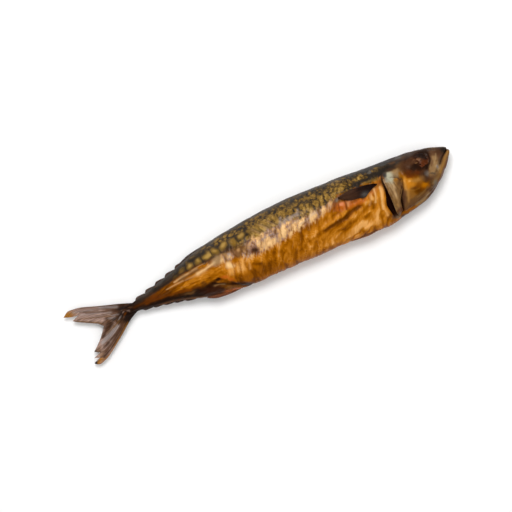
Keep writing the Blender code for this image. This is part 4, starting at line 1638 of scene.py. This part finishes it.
    def dress(self, u: Array, v: Array, _w: Array) -> Fields:
        """The fields that the skin's finish reads.

        Args:
            u, v: places on the grid.

        Returns:
            A value for each point, by name.
        """
        m = self.measure(u, v)
        x, y = m["along"], m["up"]
        sunk = np.clip(-(m["lift"] - m["crease"]) - 0.5, 0, 1.2) / 1.2
        warp = Grain(79).at(x / 18, y / 10, m["height"] / 20)
        lengthwise = ease(142, 122, x)
        across = (x - 132 - 0.45 * y) / (1.6 + 12 * lengthwise) + warp
        down = (y - 3) / (7 - 5.4 * lengthwise) + warp
        sweep = np.column_stack([across, down, m["height"] / 12])
        # painted shade for the gill openings, and for skin sunk into grooves on the head
        slit = self.relief.throat_dark(x, y)
        socket = np.hypot(x - self.relief.eye[0], y - self.relief.eye[1])
        rim = self.relief.socket_radius
        # groove: painted shade where the head's skin sinks below its creases
        groove = sunk * ease(280, 286, x) * ease(rim, rim + 2, socket)
        wet = 0.1 + 0.5 * ease(0.75, 1.05, m["pattern"]) + 0.35 * ease(4, 12, y)
        skull = ease(280.6, 282.4 + 9 * ease(12, 18, y), x + 9 * (warp - 0.2) * ease(11, 17, y))
        fields = {"sweep": sweep, "painted_recess_shade": np.maximum(slit, groove), "skull": skull, "wet": wet}
        return fields | self.flesh(m) | self.back(m) | self.paint.fields(x, y, m["height"])

    def build(self) -> Object:
        """Makes the skin, which stands for the CAD fish."""
        piece = self.make("fish_skin", (self.rings, self.round))
        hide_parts("fish")
        return piece


COVER_LAYERS = (
    Daub(290.4, -5.6, 4, 8, Tone.HUSK, 0.9), Daub(284, -15, 4.6, 7, Tone.HUSK, 0.9),
    Daub(284.4, 0.6, 3, 6.4, Tone.SAND, 0.8), Daub(285, -8.2, 2.6, 3.2, Tone.SAND, 0.9),
    Daub(291, 8.2, 4.6, 3.2, Tone.SAND, 0.9), Daub(290.8, 4.4, 3.6, 3.4, Tone.GINGER, 0.7),
    Daub(292.6, 2.4, 2.6, 3.4, Tone.EMBER, 0.75), Daub(289.2, 0.8, 2.8, 3, Tone.GINGER, 0.6),
    Daub(285.8, 6.6, 4.4, 4.6, Tone.SAGE, 0.85), Daub(286, 5.8, 2.6, 2.2, Tone.SAGE, 0.6),
    Daub(282.6, 8.6, 1.5, 4, Tone.STEEL, 0.7), Daub(289.6, 15.2, 11, 3.4, Tone.SOOT, 1, -6),
    Daub(287, 13, 7.4, 2.2, Tone.SOOT, 0.9, -6), Daub(282.4, 10.6, 2, 1.8, Tone.SLATE, 0.8, -30),
    Daub(290.6, 3.4, 3, 2.2, Tone.GINGER), Daub(290.4, -0.4, 2.4, 3, Tone.BARK),
    Daub(288.4, -9.6, 2.2, 5, Tone.HUSK, 0.5, -8), Daub(284.2, -13.4, 2.6, 4.4, Tone.RIND, 0.45),
    Daub(284.8, 6.8, 2, 2.4, Tone.SAGE, 0.5),
    Line(((287.2, 2), (288, -4), (287, -10)), 0.6, Tone.BARK, 0.6),
    Line(((282.6, 0), (283, -7), (282.4, -14)), 0.6, Tone.BARK, 0.5),
    Daub(287.6, 10.2, 1.8, 1, Tone.BARK, 0.5, -30), Daub(284.6, 11.2, 1.6, 1.2, Tone.SLATE, 0.6, 20),
    # the cocoa daub is painted shade in the gap at the cheek
    Daub(287.8, -16.4, 1.5, 5, Tone.COCOA, 0.6, -8), Daub(284.4, -21.6, 4.2, 2.4, Tone.RUST, 0.8),
    Daub(281.4, -24.2, 2.4, 1.8, Tone.BROWN, 0.8),
)


@dataclass
class GillCover(GridPiece):
    """One gill cover: a thin plate whose rear edge stands over the gill opening."""

    flank: Flank
    slot = "smoked_head"
    front: Curve = (
        (296.4, 9.8), (295.6, 5.6), (294.4, 1.4), (293.2, -2.6), (291.2, -6.7),
        (288.4, -10.8), (286.5, -14.8), (285.9, -18.9), (285, -23.2),
    )
    rear: Curve = (
        (283.8, 14.4), (280.5, 9.4), (279.7, 4.5), (279.7, -0.4), (279.7, -5.3),
        (279.7, -10.2), (279.5, -15), (279.4, -19.9), (280.6, -24.6),
    )
    thickness: float = 0.7
    lift_front: float = -1.5
    lift_rear: float = 0.55
    sunk_edge: float = 0.9
    paint: Paint = Paint(COVER_LAYERS, 300)

    def shape(self, u: Array, v: Array, w: Array) -> Array:
        """The plate, tucked in at its front, top and bottom. u runs to its rear, v downwards.

        Args:
            u, v, w: places on the grid.

        Returns:
            The points, in mm.
        """
        x, y = between_curves(self.front, self.rear, u, v)
        growth = 0.09 * np.sin(26 * u + 3 * v) * u * (1 - u) * 4
        bulge = 0.5 * np.sin(np.pi * np.clip(u * 1.1, 0, 1)) * np.sin(np.pi * v)
        lift = self.lift_front + (self.lift_rear - self.lift_front) * u**0.8 + bulge + growth
        lift -= self.sunk_edge * (2.2 * ease(0.22, 0, v) + 0.6 * ease(0.94, 1, v))
        lift -= 0.25 * ease(0.95, 1, u)
        lift += 0.22 * Grain(31).rough(x / 5, y / 6, 0 * x + self.flank)
        depth = self.thickness * (1 - w) * (0.5 + 0.5 * ease(1, 0.9, u))
        return on_table(FORM.over(x, y, self.flank, lift - depth))

    def dress(self, u: Array, v: Array, w: Array) -> Fields:
        """The tones of the plate and its darker rim.

        Args:
            u, v, w: places on the grid.

        Returns:
            A value for each point, by name.
        """
        x, y = between_curves(self.front, self.rear, u, v)
        fields = self.paint.fields(x, y, 10 * w)
        fields["edge"] = np.maximum(ease(0.97, 1, u), 1 - w)
        fields["sweep"] = np.column_stack([x / 1.6, y / 7, np.full(len(x), float(self.flank))])
        return fields

    def build(self) -> Object:
        """Makes the gill cover."""
        return self.make(f"gill_cover_{self.flank.word}", (44, 96))


@dataclass
class Eye:
    """One eye, dried and sunk into its socket."""

    material: Material
    flank: Flank
    centre: tuple[float, float] = (315.2, 9)
    radius: float = 6.8
    flatness: float = 0.2
    sunk: float = 1.7

    def build(self) -> Object:
        """Makes the eye as a dented, flattened ball.

        Returns:
            The eye.
        """
        along, up = (np.array([value]) for value in self.centre)
        seat = FORM.over(along, up, self.flank, -self.sunk)[0]
        turn = FORM.turn_at(along, up, self.flank)
        out = Vector(FORM.normal(along, turn)[0])
        bm = bmesh.new()
        bmesh.ops.create_uvsphere(bm, u_segments=72, v_segments=40, radius=self.radius)
        lens, iris = (bm.verts.layers.float.new(name) for name in ("lens", "iris"))
        x, y, z = np.array([vert.co for vert in bm.verts]).T
        wrinkle = Grain(41).rough(x / 2.6, y / 1.8, z / 4.5 + self.flank)
        dent = 0.45 * Grain(42).rough(x / 4.5, y / 3.5, z / 4.5 + self.flank) + 0.3 * wrinkle
        # pale patch: cloudy lens with a painted highlight
        gap = np.hypot((x + 3.5) / 1.9, y - 1.5 + 0.8 * wrinkle)
        pale = 0.8 * bell(gap, 1.9) * ease(-1, 0.3, wrinkle)
        warm = np.clip(0.55 - 0.08 * x - 0.12 * y + 0.6 * wrinkle, 0, 1)
        for index, vert in enumerate(bm.verts):
            vert[lens] = pale[index]
            vert[iris] = warm[index]
            vert.co.z = vert.co.z * self.flatness + dent[index]
        level = Vector((0, 0, 1)).rotation_difference(out).to_matrix()
        bmesh.ops.rotate(bm, verts=bm.verts, matrix=level)
        bmesh.ops.translate(bm, verts=bm.verts, vec=Vector(seat))
        bmesh.ops.scale(bm, verts=bm.verts, vec=(MM, MM, MM))
        bmesh.ops.translate(bm, verts=bm.verts, vec=Vector(FORM.to_row(np.zeros(3))))
        piece = finish_piece(f"eye_{self.flank.word}", bm, self.material)
        log.info("%s", piece.name)
        return piece


def ray_ridges(u: Array, v: Array, rays: int) -> Array:
    """Fin rays, each one split in two towards the fin's edge.

    Args:
        u, v: places across the rays and outwards, from 0 to 1.
        rays: how many there are.

    Returns:
        Heights from 0 to 1.
    """
    single = np.abs(np.cos(np.pi * rays * u)) ** 1.6
    double = np.abs(np.cos(2 * np.pi * rays * u)) ** 1.3
    split = ease(0.35, 0.75, v)
    return single * (1 - split) + double * split


TAIL_LAYERS = (
    Daub(54, 0, 15, 12, Tone.CHAR), Daub(43, 4.6, 8, 3, Tone.UMBER, 0.8, -20),
    Line(((52, 4.6), (40, 9.4), (28, 14), (16, 18.4)), 1, Tone.BROWN, 0.6),
    Daub(3, 16.8, 7, 4, Tone.GINGER, 1, -10),
    Line(((37, 4.4), (26, 9), (14, 13)), 0.9, Tone.PEWTER, 0.5),
    Line(((36, 1.8), (24, 6), (10, 10.8)), 0.8, Tone.BARK, 0.6),
    Line(((27, -1), (16, 5.6), (7, 10.4)), 1, Tone.BARK, 0.8),
    # the pewter and mauve daubs at the tail's root are painted highlights
    Daub(38, 2.4, 3.4, 1.4, Tone.PEWTER, 0.8, -20), Daub(34.6, 0.4, 3, 1, Tone.PEWTER, 0.7, -10),
    Daub(36.4, -1.4, 2.6, 1.2, Tone.SLATE, 0.7, 10), Daub(46, 1.8, 2.2, 1, Tone.MAUVE, 0.8, -30),
    Daub(40.6, -2.6, 2.6, 1.1, Tone.PEWTER, 0.7, 40), Daub(45, -3, 2.2, 0.9, Tone.BROWN, 0.8, 40),
    Line(((33, -3.5), (27, -7.5), (22, -11.2)), 1.5, Tone.UMBER, 0.95),
    Line(((40, -4.5), (34, -7), (28, -9.4)), 1, Tone.BARK, 0.8),
    # painted sheen across the lower lobe's middle
    Line(((37, -8), (30, -11.2), (20, -14.6)), 1.9, Tone.PEWTER, 0.95),
    Line(((38, -10.2), (33, -13), (27, -15.4)), 0.8, Tone.UMBER, 0.8),
    Line(((42, -8.5), (36, -12.8), (28, -18), (19, -22.4)), 1.6, Tone.BROWN, 0.9),
    Line(((40, -12), (28, -20), (16, -26)), 1.1, Tone.UMBER, 0.9),
    Line(((46, -8.5), (33, -17.8), (20, -26.4), (11, -29)), 0.8, Tone.GINGER, 0.7),
    Daub(11, -28, 5.4, 1.7, Tone.GINGER, 1, 20), Daub(15, -24.2, 3.6, 1.2, Tone.BROWN, 0.7, 30),
    Daub(7, -27.2, 2, 2, Tone.CHAR, 0.9), Daub(14, -19.6, 4, 2.8, Tone.BARK, 0.7, 30),
    Daub(10.4, -18.8, 1.6, 1.2, Tone.CHAR, 0.8), Daub(31, -1.4, 4.6, 1.8, Tone.BROWN, 0.85, 10),
    Daub(30.4, -4, 4.6, 2.2, Tone.UMBER, 0.75, 24), Daub(30.4, -5.6, 4.4, 1.8, Tone.UMBER, 0.8, 34),
    Daub(46.6, 3.2, 4.4, 1.9, Tone.CHAR, 1, -20), Daub(38, 3.2, 2.6, 1, Tone.BROWN, 0.8, -20),
    Line(((28, 10.4), (21, 12.4), (14, 15.4)), 0.7, Tone.BROWN, 0.6),
    Line(((34, 6.6), (26, 9.6), (18, 12.6)), 0.6, Tone.BROWN, 0.6),
    Daub(22.4, -17.8, 4.4, 1.5, Tone.UMBER, 0.85, 32),
    Line(((43, 6.8), (37, 9.2), (30, 12.2)), 1.2, Tone.PEWTER, 0.85),
    Line(((24, 12.6), (16, 15.4), (9, 17.4)), 0.8, Tone.PEWTER, 0.5),
    Daub(15, -23.4, 5, 1.4, Tone.TAN, 0.35, 28),
)


@dataclass
class TailLobe(GridPiece):
    """One lobe of the forked tail fin. u runs from its leading edge to the fork, v outwards."""

    word: str
    leading: Curve
    inner: Curve
    root: Curve
    margin: Curve
    curl: float
    rays: int = 11
    thick_root: float = 2.1
    thick_tip: float = 0.55
    height_root: float = 9.0
    height_tip: float = 6.2
    ray_height: float = 0.34
    paint: Paint = Paint(TAIL_LAYERS, 400)

    def place(self, u: Array, v: Array) -> Pair:
        """Points of the lobe between its four edges.

        Args:
            u, v: places on the grid.

        Returns:
            Places along the fish and above its axis.
        """
        lead, fork = curve_at(self.leading, v), curve_at(self.inner, v)
        base, rim = curve_at(self.root, u), line_at(self.margin, u)
        corners = (self.leading[0], self.inner[0], self.leading[-1], self.inner[-1])
        out = []
        for k in range(2):
            across = (1 - u) * lead[k] + u * fork[k] + (1 - v) * base[k] + v * rim[k]
            a, b, c, d = (corner[k] for corner in corners)
            twist = (1 - u) * (1 - v) * a + u * (1 - v) * b + (1 - u) * v * c + u * v * d
            out.append(across - twist)
        return out[0], out[1]

    def shape(self, u: Array, v: Array, w: Array) -> Array:
        """The lobe with its rays, thinning and curling towards its tips.

        Args:
            u, v, w: places on the grid.

        Returns:
            The points, in mm.
        """
        x, y = self.place(u, v)
        share = np.clip(x / 57, 0, 1)
        middle = self.height_tip + (self.height_root - self.height_tip) * share
        middle += self.curl * v**2 * (1 - 0.6 * u) + 0.5 * Grain(51).at(x / 7, y / 5) * v
        middle += 0.35 * np.sin(u * 9 + v * 3) * v
        thick = self.thick_tip + (self.thick_root - self.thick_tip) * share**1.4
        thick = thick + 0.5 * bell(u, 0.08)
        ridge = self.ray_height * (ray_ridges(u, v, self.rays) - 0.5)
        ridge *= ease(0, 0.25, v) * ease(1.02, 0.9, v)
        half = (thick / 2 + ridge) * (0.35 + 0.65 * ease(1, 0.94, v))
        return np.stack([x, y, middle + np.where(w > 0.5, half, -half)], axis=-1)

    def dress(self, u: Array, v: Array, w: Array) -> Fields:
        """Rays, the way outwards, and the lobe's tones.

        Args:
            u, v, w: places on the grid.

        Returns:
            A value for each point, by name.
        """
        x, y = self.place(u, v)
        fields = self.paint.fields(x, y, 12 * w)
        fields["ray"] = ray_ridges(u, v, self.rays)
        fields["outward"] = np.clip((54 - x) / 46, 0, 1)
        fields["sweep"] = np.column_stack([u * 26, v * 3, 4 * w + y * 0.02])
        return fields

    def build(self) -> Object:
        """Makes the lobe."""
        return self.make(f"tail_fin_{self.word}", (self.rays * 12, 90))


@dataclass
class FoldedFin(GridPiece):
    """A small fin on the back's or belly's edge, its rays leaning towards the tail."""

    name: str
    first: float
    last: float
    edge: Edge
    rise: float
    thick: float
    root_depth: float = 1.8
    sweep: float = 3.0
    rays: int = 5
    crest: float = 0.35
    aside: float = 0.0
    tone: Tone = Tone.CHAR
    tip_tone: Tone = Tone.BROWN

    def place(self, u: Array, v: Array) -> Pair:
        """Points of the fin.

        Args:
            u: places from its rear to its front.
            v: places outwards.

        Returns:
            Places along the fish and above its axis.
        """
        x = self.first + (self.last - self.first) * u
        edge = FORM.value(self.edge.name.lower(), x)
        share = np.clip(u, 0, 1)
        tooth = np.minimum(share / self.crest, (1 - share) / (1 - self.crest))
        rise = self.rise * ease(-0.25, 1.1, tooth) * ease(0, 0.3, tooth)
        up = edge + self.edge * (v * (rise + self.root_depth) - self.root_depth)
        return x - self.sweep * v * ease(0, 1, v), up

    def shape(self, u: Array, v: Array, w: Array) -> Array:
        """The fin with its rays, thinner towards its edge.

        Args:
            u, v, w: places on the grid.

        Returns:
            The points, in mm.
        """
        x, y = self.place(u, v)
        half = self.thick / 2 * (1 - 0.75 * v)
        half *= 0.3 + 0.7 * np.sin(np.pi * np.clip(u, 0.02, 0.98)) ** 0.5
        half *= 0.8 + 0.35 * ray_ridges(u, v, self.rays)
        aside = self.aside * (0.35 + 0.65 * np.clip(u, 0, 1))
        middle = FORM.value("height", x) + aside + 0.4 * Grain(61).at(x / 4, y / 3) * v
        return np.stack([x, y, middle + np.where(w > 0.5, half, -half)], axis=-1)

    def dress(self, u: Array, v: Array, w: Array) -> Fields:
        """Rays, the way outwards, and the tones of root and tip.

        Args:
            u, v, w: places on the grid.

        Returns:
            A value for each point, by name.
        """
        x, y = self.place(u, v)
        mixed = ease(0.5, 1, v)[:, None]
        tint = self.tone.linear * (1 - mixed) + self.tip_tone.linear * mixed
        return {
            "ray": ray_ridges(u, v, self.rays),
            "sweep": np.column_stack([u * 3 * self.rays, v * 2, 3 * w]),
            "outward": 0.3 + 0.5 * v,
            "tint": np.column_stack([tint, np.ones(len(u))]),
            "cover": np.full(len(u), 0.85),
        }

    def build(self) -> Object:
        """Makes the fin."""
        return self.make(self.name, (max(self.rays * 6, int((self.last - self.first) * 2)), 18))


@dataclass
class PectoralFin(GridPiece):
    """One pectoral fin, folded back along the flank. u runs from below to above, v to the tip."""

    flank: Flank
    top: Curve = (
        (275.2, 7.2), (269.4, 9), (263.8, 10.2), (258.4, 10.9), (253, 11.2), (247.4, 11.2), (241.6, 10.2),
    )
    bottom: Curve = (
        (275.2, 6.4), (269.6, 5), (264.6, 2.6), (261.2, 1.2), (256.4, 2.6), (249.4, 4), (241, 9),
    )
    rays: int = 12
    thick: float = 0.7
    lift: float = 0.1
    tip_lift: float = 0.5
    ray_height: float = 0.3

    def shape(self, u: Array, v: Array, w: Array) -> Array:
        """The folded fan: thicker along its upper edge, its tip a little off the skin.

        Args:
            u, v, w: places on the grid.

        Returns:
            The points, in mm.
        """
        x, y = between_curves(self.bottom, self.top, u, v)
        fan = 0.7 * ease(0, 0.9, u) * np.sin(np.pi * np.clip(v * 1.05, 0, 1)) ** 0.7
        ridge = self.ray_height * (np.abs(np.sin(np.pi * self.rays * u)) - 0.5) * ease(0, 0.15, v)
        top = self.lift + fan + ridge + self.tip_lift * v**2
        if self.flank is Flank.LOWER:
            top = np.minimum(top, 0) - 0.05
        edge = ease(0, 0.1, u) * ease(1, 0.93, u) * ease(1, 0.95, v)
        depth = self.thick * (0.25 + 0.75 * edge) * np.where(w > 0.5, 1 - edge, 1)
        return on_table(FORM.over(x, y, self.flank, top - ease(0.1, 0, v) - depth))

    def dress(self, u: Array, v: Array, w: Array) -> Fields:
        """Dark smoked rays, browner to the tip, with a painted steel-coloured sheen on the lower ones.

        Args:
            u, v, w: places on the grid.

        Returns:
            A value for each point, by name.
        """
        x, y = between_curves(self.bottom, self.top, u, v)
        brown = (0.9 * ease(264, 246, x + 3 * Grain(81).at(x / 5, y / 1.4)))[:, None]
        # painted sheen on the lower rays
        painted_sheen = (0.5 * bell(np.hypot((x - 262.2) / 1.5, y - 3.4), 2))[:, None]
        tint = Tone.PITCH.linear * (1 - brown) + Tone.UMBER.linear * brown
        tint = tint * (1 - painted_sheen) + Tone.STEEL.linear * painted_sheen
        return {
            "ray": np.abs(np.sin(np.pi * self.rays * u)),
            "sweep": np.column_stack([u * 3 * self.rays, v * 4, 3 * w]),
            "outward": 0.1 + 0.2 * v,
            "tint": np.column_stack([tint, np.ones(len(u))]),
            "cover": np.full(len(u), 0.95),
        }

    def build(self) -> Object:
        """Makes the fin."""
        return self.make(f"pectoral_fin_{self.flank.word}", (self.rays * 8, 110))


@dataclass
class FishFins:
    """Every fin of the fish."""

    material: Material
    back_finlets: tuple[float, ...] = (64.5, 74, 84, 94, 104)
    belly_finlets: tuple[float, ...] = (67, 75.5, 84, 92.5, 101)
    finlet_length: float = 7.6

    def tail(self) -> None:
        """Makes both lobes of the tail fin."""
        upper = ((57, 3.6), (48, 7.2), (30, 13.5), (13, 19.4), (6, 20.1), (0, 17))
        lower = ((57, -3.6), (50, -6.8), (35, -17.3), (18, -27.8), (11.5, -29.7), (7.2, -28))
        middle, fork = (44, -0.2), (26.8, -3)
        inner = (middle, (35, -1.8), fork)
        upper_margin = (
            upper[-1], (3.2, 15.6), (6.2, 14.6), (12.2, 13.6), (5.4, 11.4),
            (8.6, 9), (16, 4.8), (23.6, 0.6), fork,
        )
        lower_margin = (
            lower[-1], (7, -26.8), (13.2, -24.8), (8.4, -23.3), (15.2, -21),
            (10.6, -18.8), (15.4, -15), (20, -11), (24, -6.4), fork,
        )
        upper_root, lower_root = (upper[0], (50, 2.4), middle), (lower[0], (50, -2.6), middle)
        TailLobe(self.material, "upper", upper, inner, upper_root, upper_margin, curl=1.4).build()
        TailLobe(self.material, "lower", lower, inner, lower_root, lower_margin, curl=-1.2).build()

    def finlets(self) -> None:
        """Makes the rows of finlets on both edges."""
        rows = (
            (Edge.BACK, self.back_finlets, 1.3, Tone.SLATE, Tone.UMBER),
            (Edge.BELLY, self.belly_finlets, 0.8, Tone.PITCH, Tone.CHAR),
        )
        for edge, places, rise, tone, tip in rows:
            for number, along in enumerate(places, 1):
                name = f"{edge.name.lower()}_finlet_{number}"
                first, last = along - self.finlet_length / 2, along + self.finlet_length / 2 + 0.8
                FoldedFin(
                    self.material, name, first, last, edge, rise, 1.5,
                    sweep=1.8, rays=4, crest=0.24, tone=tone, tip_tone=tip,
                ).build()

    def folded(self) -> None:
        """Makes the fins that lie folded on the edges of the body."""
        dark = {"tone": Tone.SLATE, "tip_tone": Tone.SOOT}
        red = {"tone": Tone.RUSSET, "tip_tone": Tone.RUST}
        pelvic = {"rays": 6, "sweep": 5, "crest": 0.7, "tone": Tone.COAL, "tip_tone": Tone.EMBER}
        rows = (
            ("second_back_fin", 106, 129, Edge.BACK, 0.9, 2, {"rays": 9} | dark),
            ("first_back_fin", 195, 239, Edge.BACK, 0.5, 1.7, {"rays": 10, "sweep": 6} | dark),
            ("anal_fin", 115, 143, Edge.BELLY, 1.9, 3, {"rays": 11, "crest": 0.3} | red),
            ("pelvic_fin_right", 242, 262, Edge.BELLY, 0.7, 3.2, {"aside": 3.6} | pelvic),
            ("pelvic_fin_left", 242, 262, Edge.BELLY, 0.7, 3.2, {"aside": -3.6} | pelvic),
        )
        for *measures, options in rows:
            FoldedFin(self.material, *measures, **options).build()

    def build(self) -> None:
        """Makes all the fins."""
        self.tail()
        self.finlets()
        self.folded()
        for flank in Flank:
            PectoralFin(self.material, flank).build()


# ---- studio


@dataclass(frozen=True)
class Studio:
    """A pale floor, soft lights, and a camera that looks straight down on the fish."""

    lens: float = 150.0
    sensor: float = 36.0
    view_width: float = 0.4134
    aim: tuple[float, float, float] = (-0.0075, -0.0031, 0.013)
    roll_deg: float = -25.21
    floor_size: float = 6.0
    sky: float = 0.16
    sky_tone: tuple[float, float, float, float] = (1.0, 0.98, 0.95, 1.0)

    def floor(self) -> None:
        """Makes the floor just under the fish."""
        bm = bmesh.new()
        bmesh.ops.create_grid(bm, x_segments=1, y_segments=1, size=self.floor_size / 2)
        bmesh.ops.translate(bm, verts=bm.verts, vec=(0.0, 0.0, CAD_LOW.z - 0.0002))
        mesh = bpy.data.meshes.new("studio_floor")
        bm.to_mesh(mesh)
        bm.free()
        mesh.materials.append(FloorFinish().build())
        floor = bpy.data.objects.new("studio_floor", mesh)
        bpy.context.scene.collection.objects.link(floor)

    def light(
        self, name: str, place: tuple[float, float, float], size: float, watts: float, glossy: bool = True
    ) -> None:
        """Hangs one square soft light that faces the fish.

        Args:
            name: the light's name.
            place: where it hangs, in metres.
            size: its side, in metres.
            watts: its power.
            glossy: whether it shows in reflections.
        """
        data = bpy.data.lights.new(name, "AREA")
        data.size, data.energy = size, watts
        lamp = bpy.data.objects.new(name, data)
        lamp.location = place
        lamp.rotation_euler = (-Vector(place)).to_track_quat("-Z", "Y").to_euler()
        lamp.visible_glossy = glossy
        bpy.context.scene.collection.objects.link(lamp)

    def world(self) -> None:
        """Fills the shadows with even white light."""
        world = bpy.data.worlds.new("studio_sky")
        bpy.context.scene.world = world
        world.use_nodes = True
        sky = world.node_tree.nodes["Background"]
        sky.inputs["Color"].default_value = self.sky_tone
        sky.inputs["Strength"].default_value = self.sky

    def camera(self) -> None:
        """Sets the camera over the fish."""
        data = bpy.data.cameras.new("camera")
        data.lens, data.sensor_width = self.lens, self.sensor
        camera = bpy.data.objects.new("camera", data)
        distance = self.view_width * self.lens / self.sensor
        camera.location = (self.aim[0], self.aim[1], self.aim[2] + distance)
        camera.rotation_euler = (0.0, 0.0, math.radians(self.roll_deg))
        bpy.context.scene.collection.objects.link(camera)
        bpy.context.scene.camera = camera

    def build(self) -> None:
        """Makes the whole studio."""
        self.camera()
        self.floor()
        self.world()
        self.light("key", (0.08, 0.36, 0.96), 0.4, 6.0)
        self.light("back", (-0.1, 1.15, 0.5), 0.9, 5.0)
        self.light("front", (0.1, -1.1, 0.65), 1.0, 4.0, glossy=False)
        self.light("panel", (0.0, -0.1, 2.0), 2.2, 20.0, glossy=False)


def main() -> None:
    """Builds the studio and every piece of the fish."""
    logging.basicConfig(level=logging.INFO, format="%(name)s: %(message)s")
    bpy.context.scene.view_settings.view_transform = "Standard"
    Studio().build()
    grain = dry_grain_group()
    SkinPiece(SkinFinish(grain).build()).build()
    plate, fin, eye = PlateFinish(grain).build(), FinFinish(grain).build(), EyeFinish(grain).build()
    for flank in Flank:
        GillCover(plate, flank).build()
        Eye(eye, flank).build()
    FishFins(fin).build()


if __name__ == "__main__":
    main()
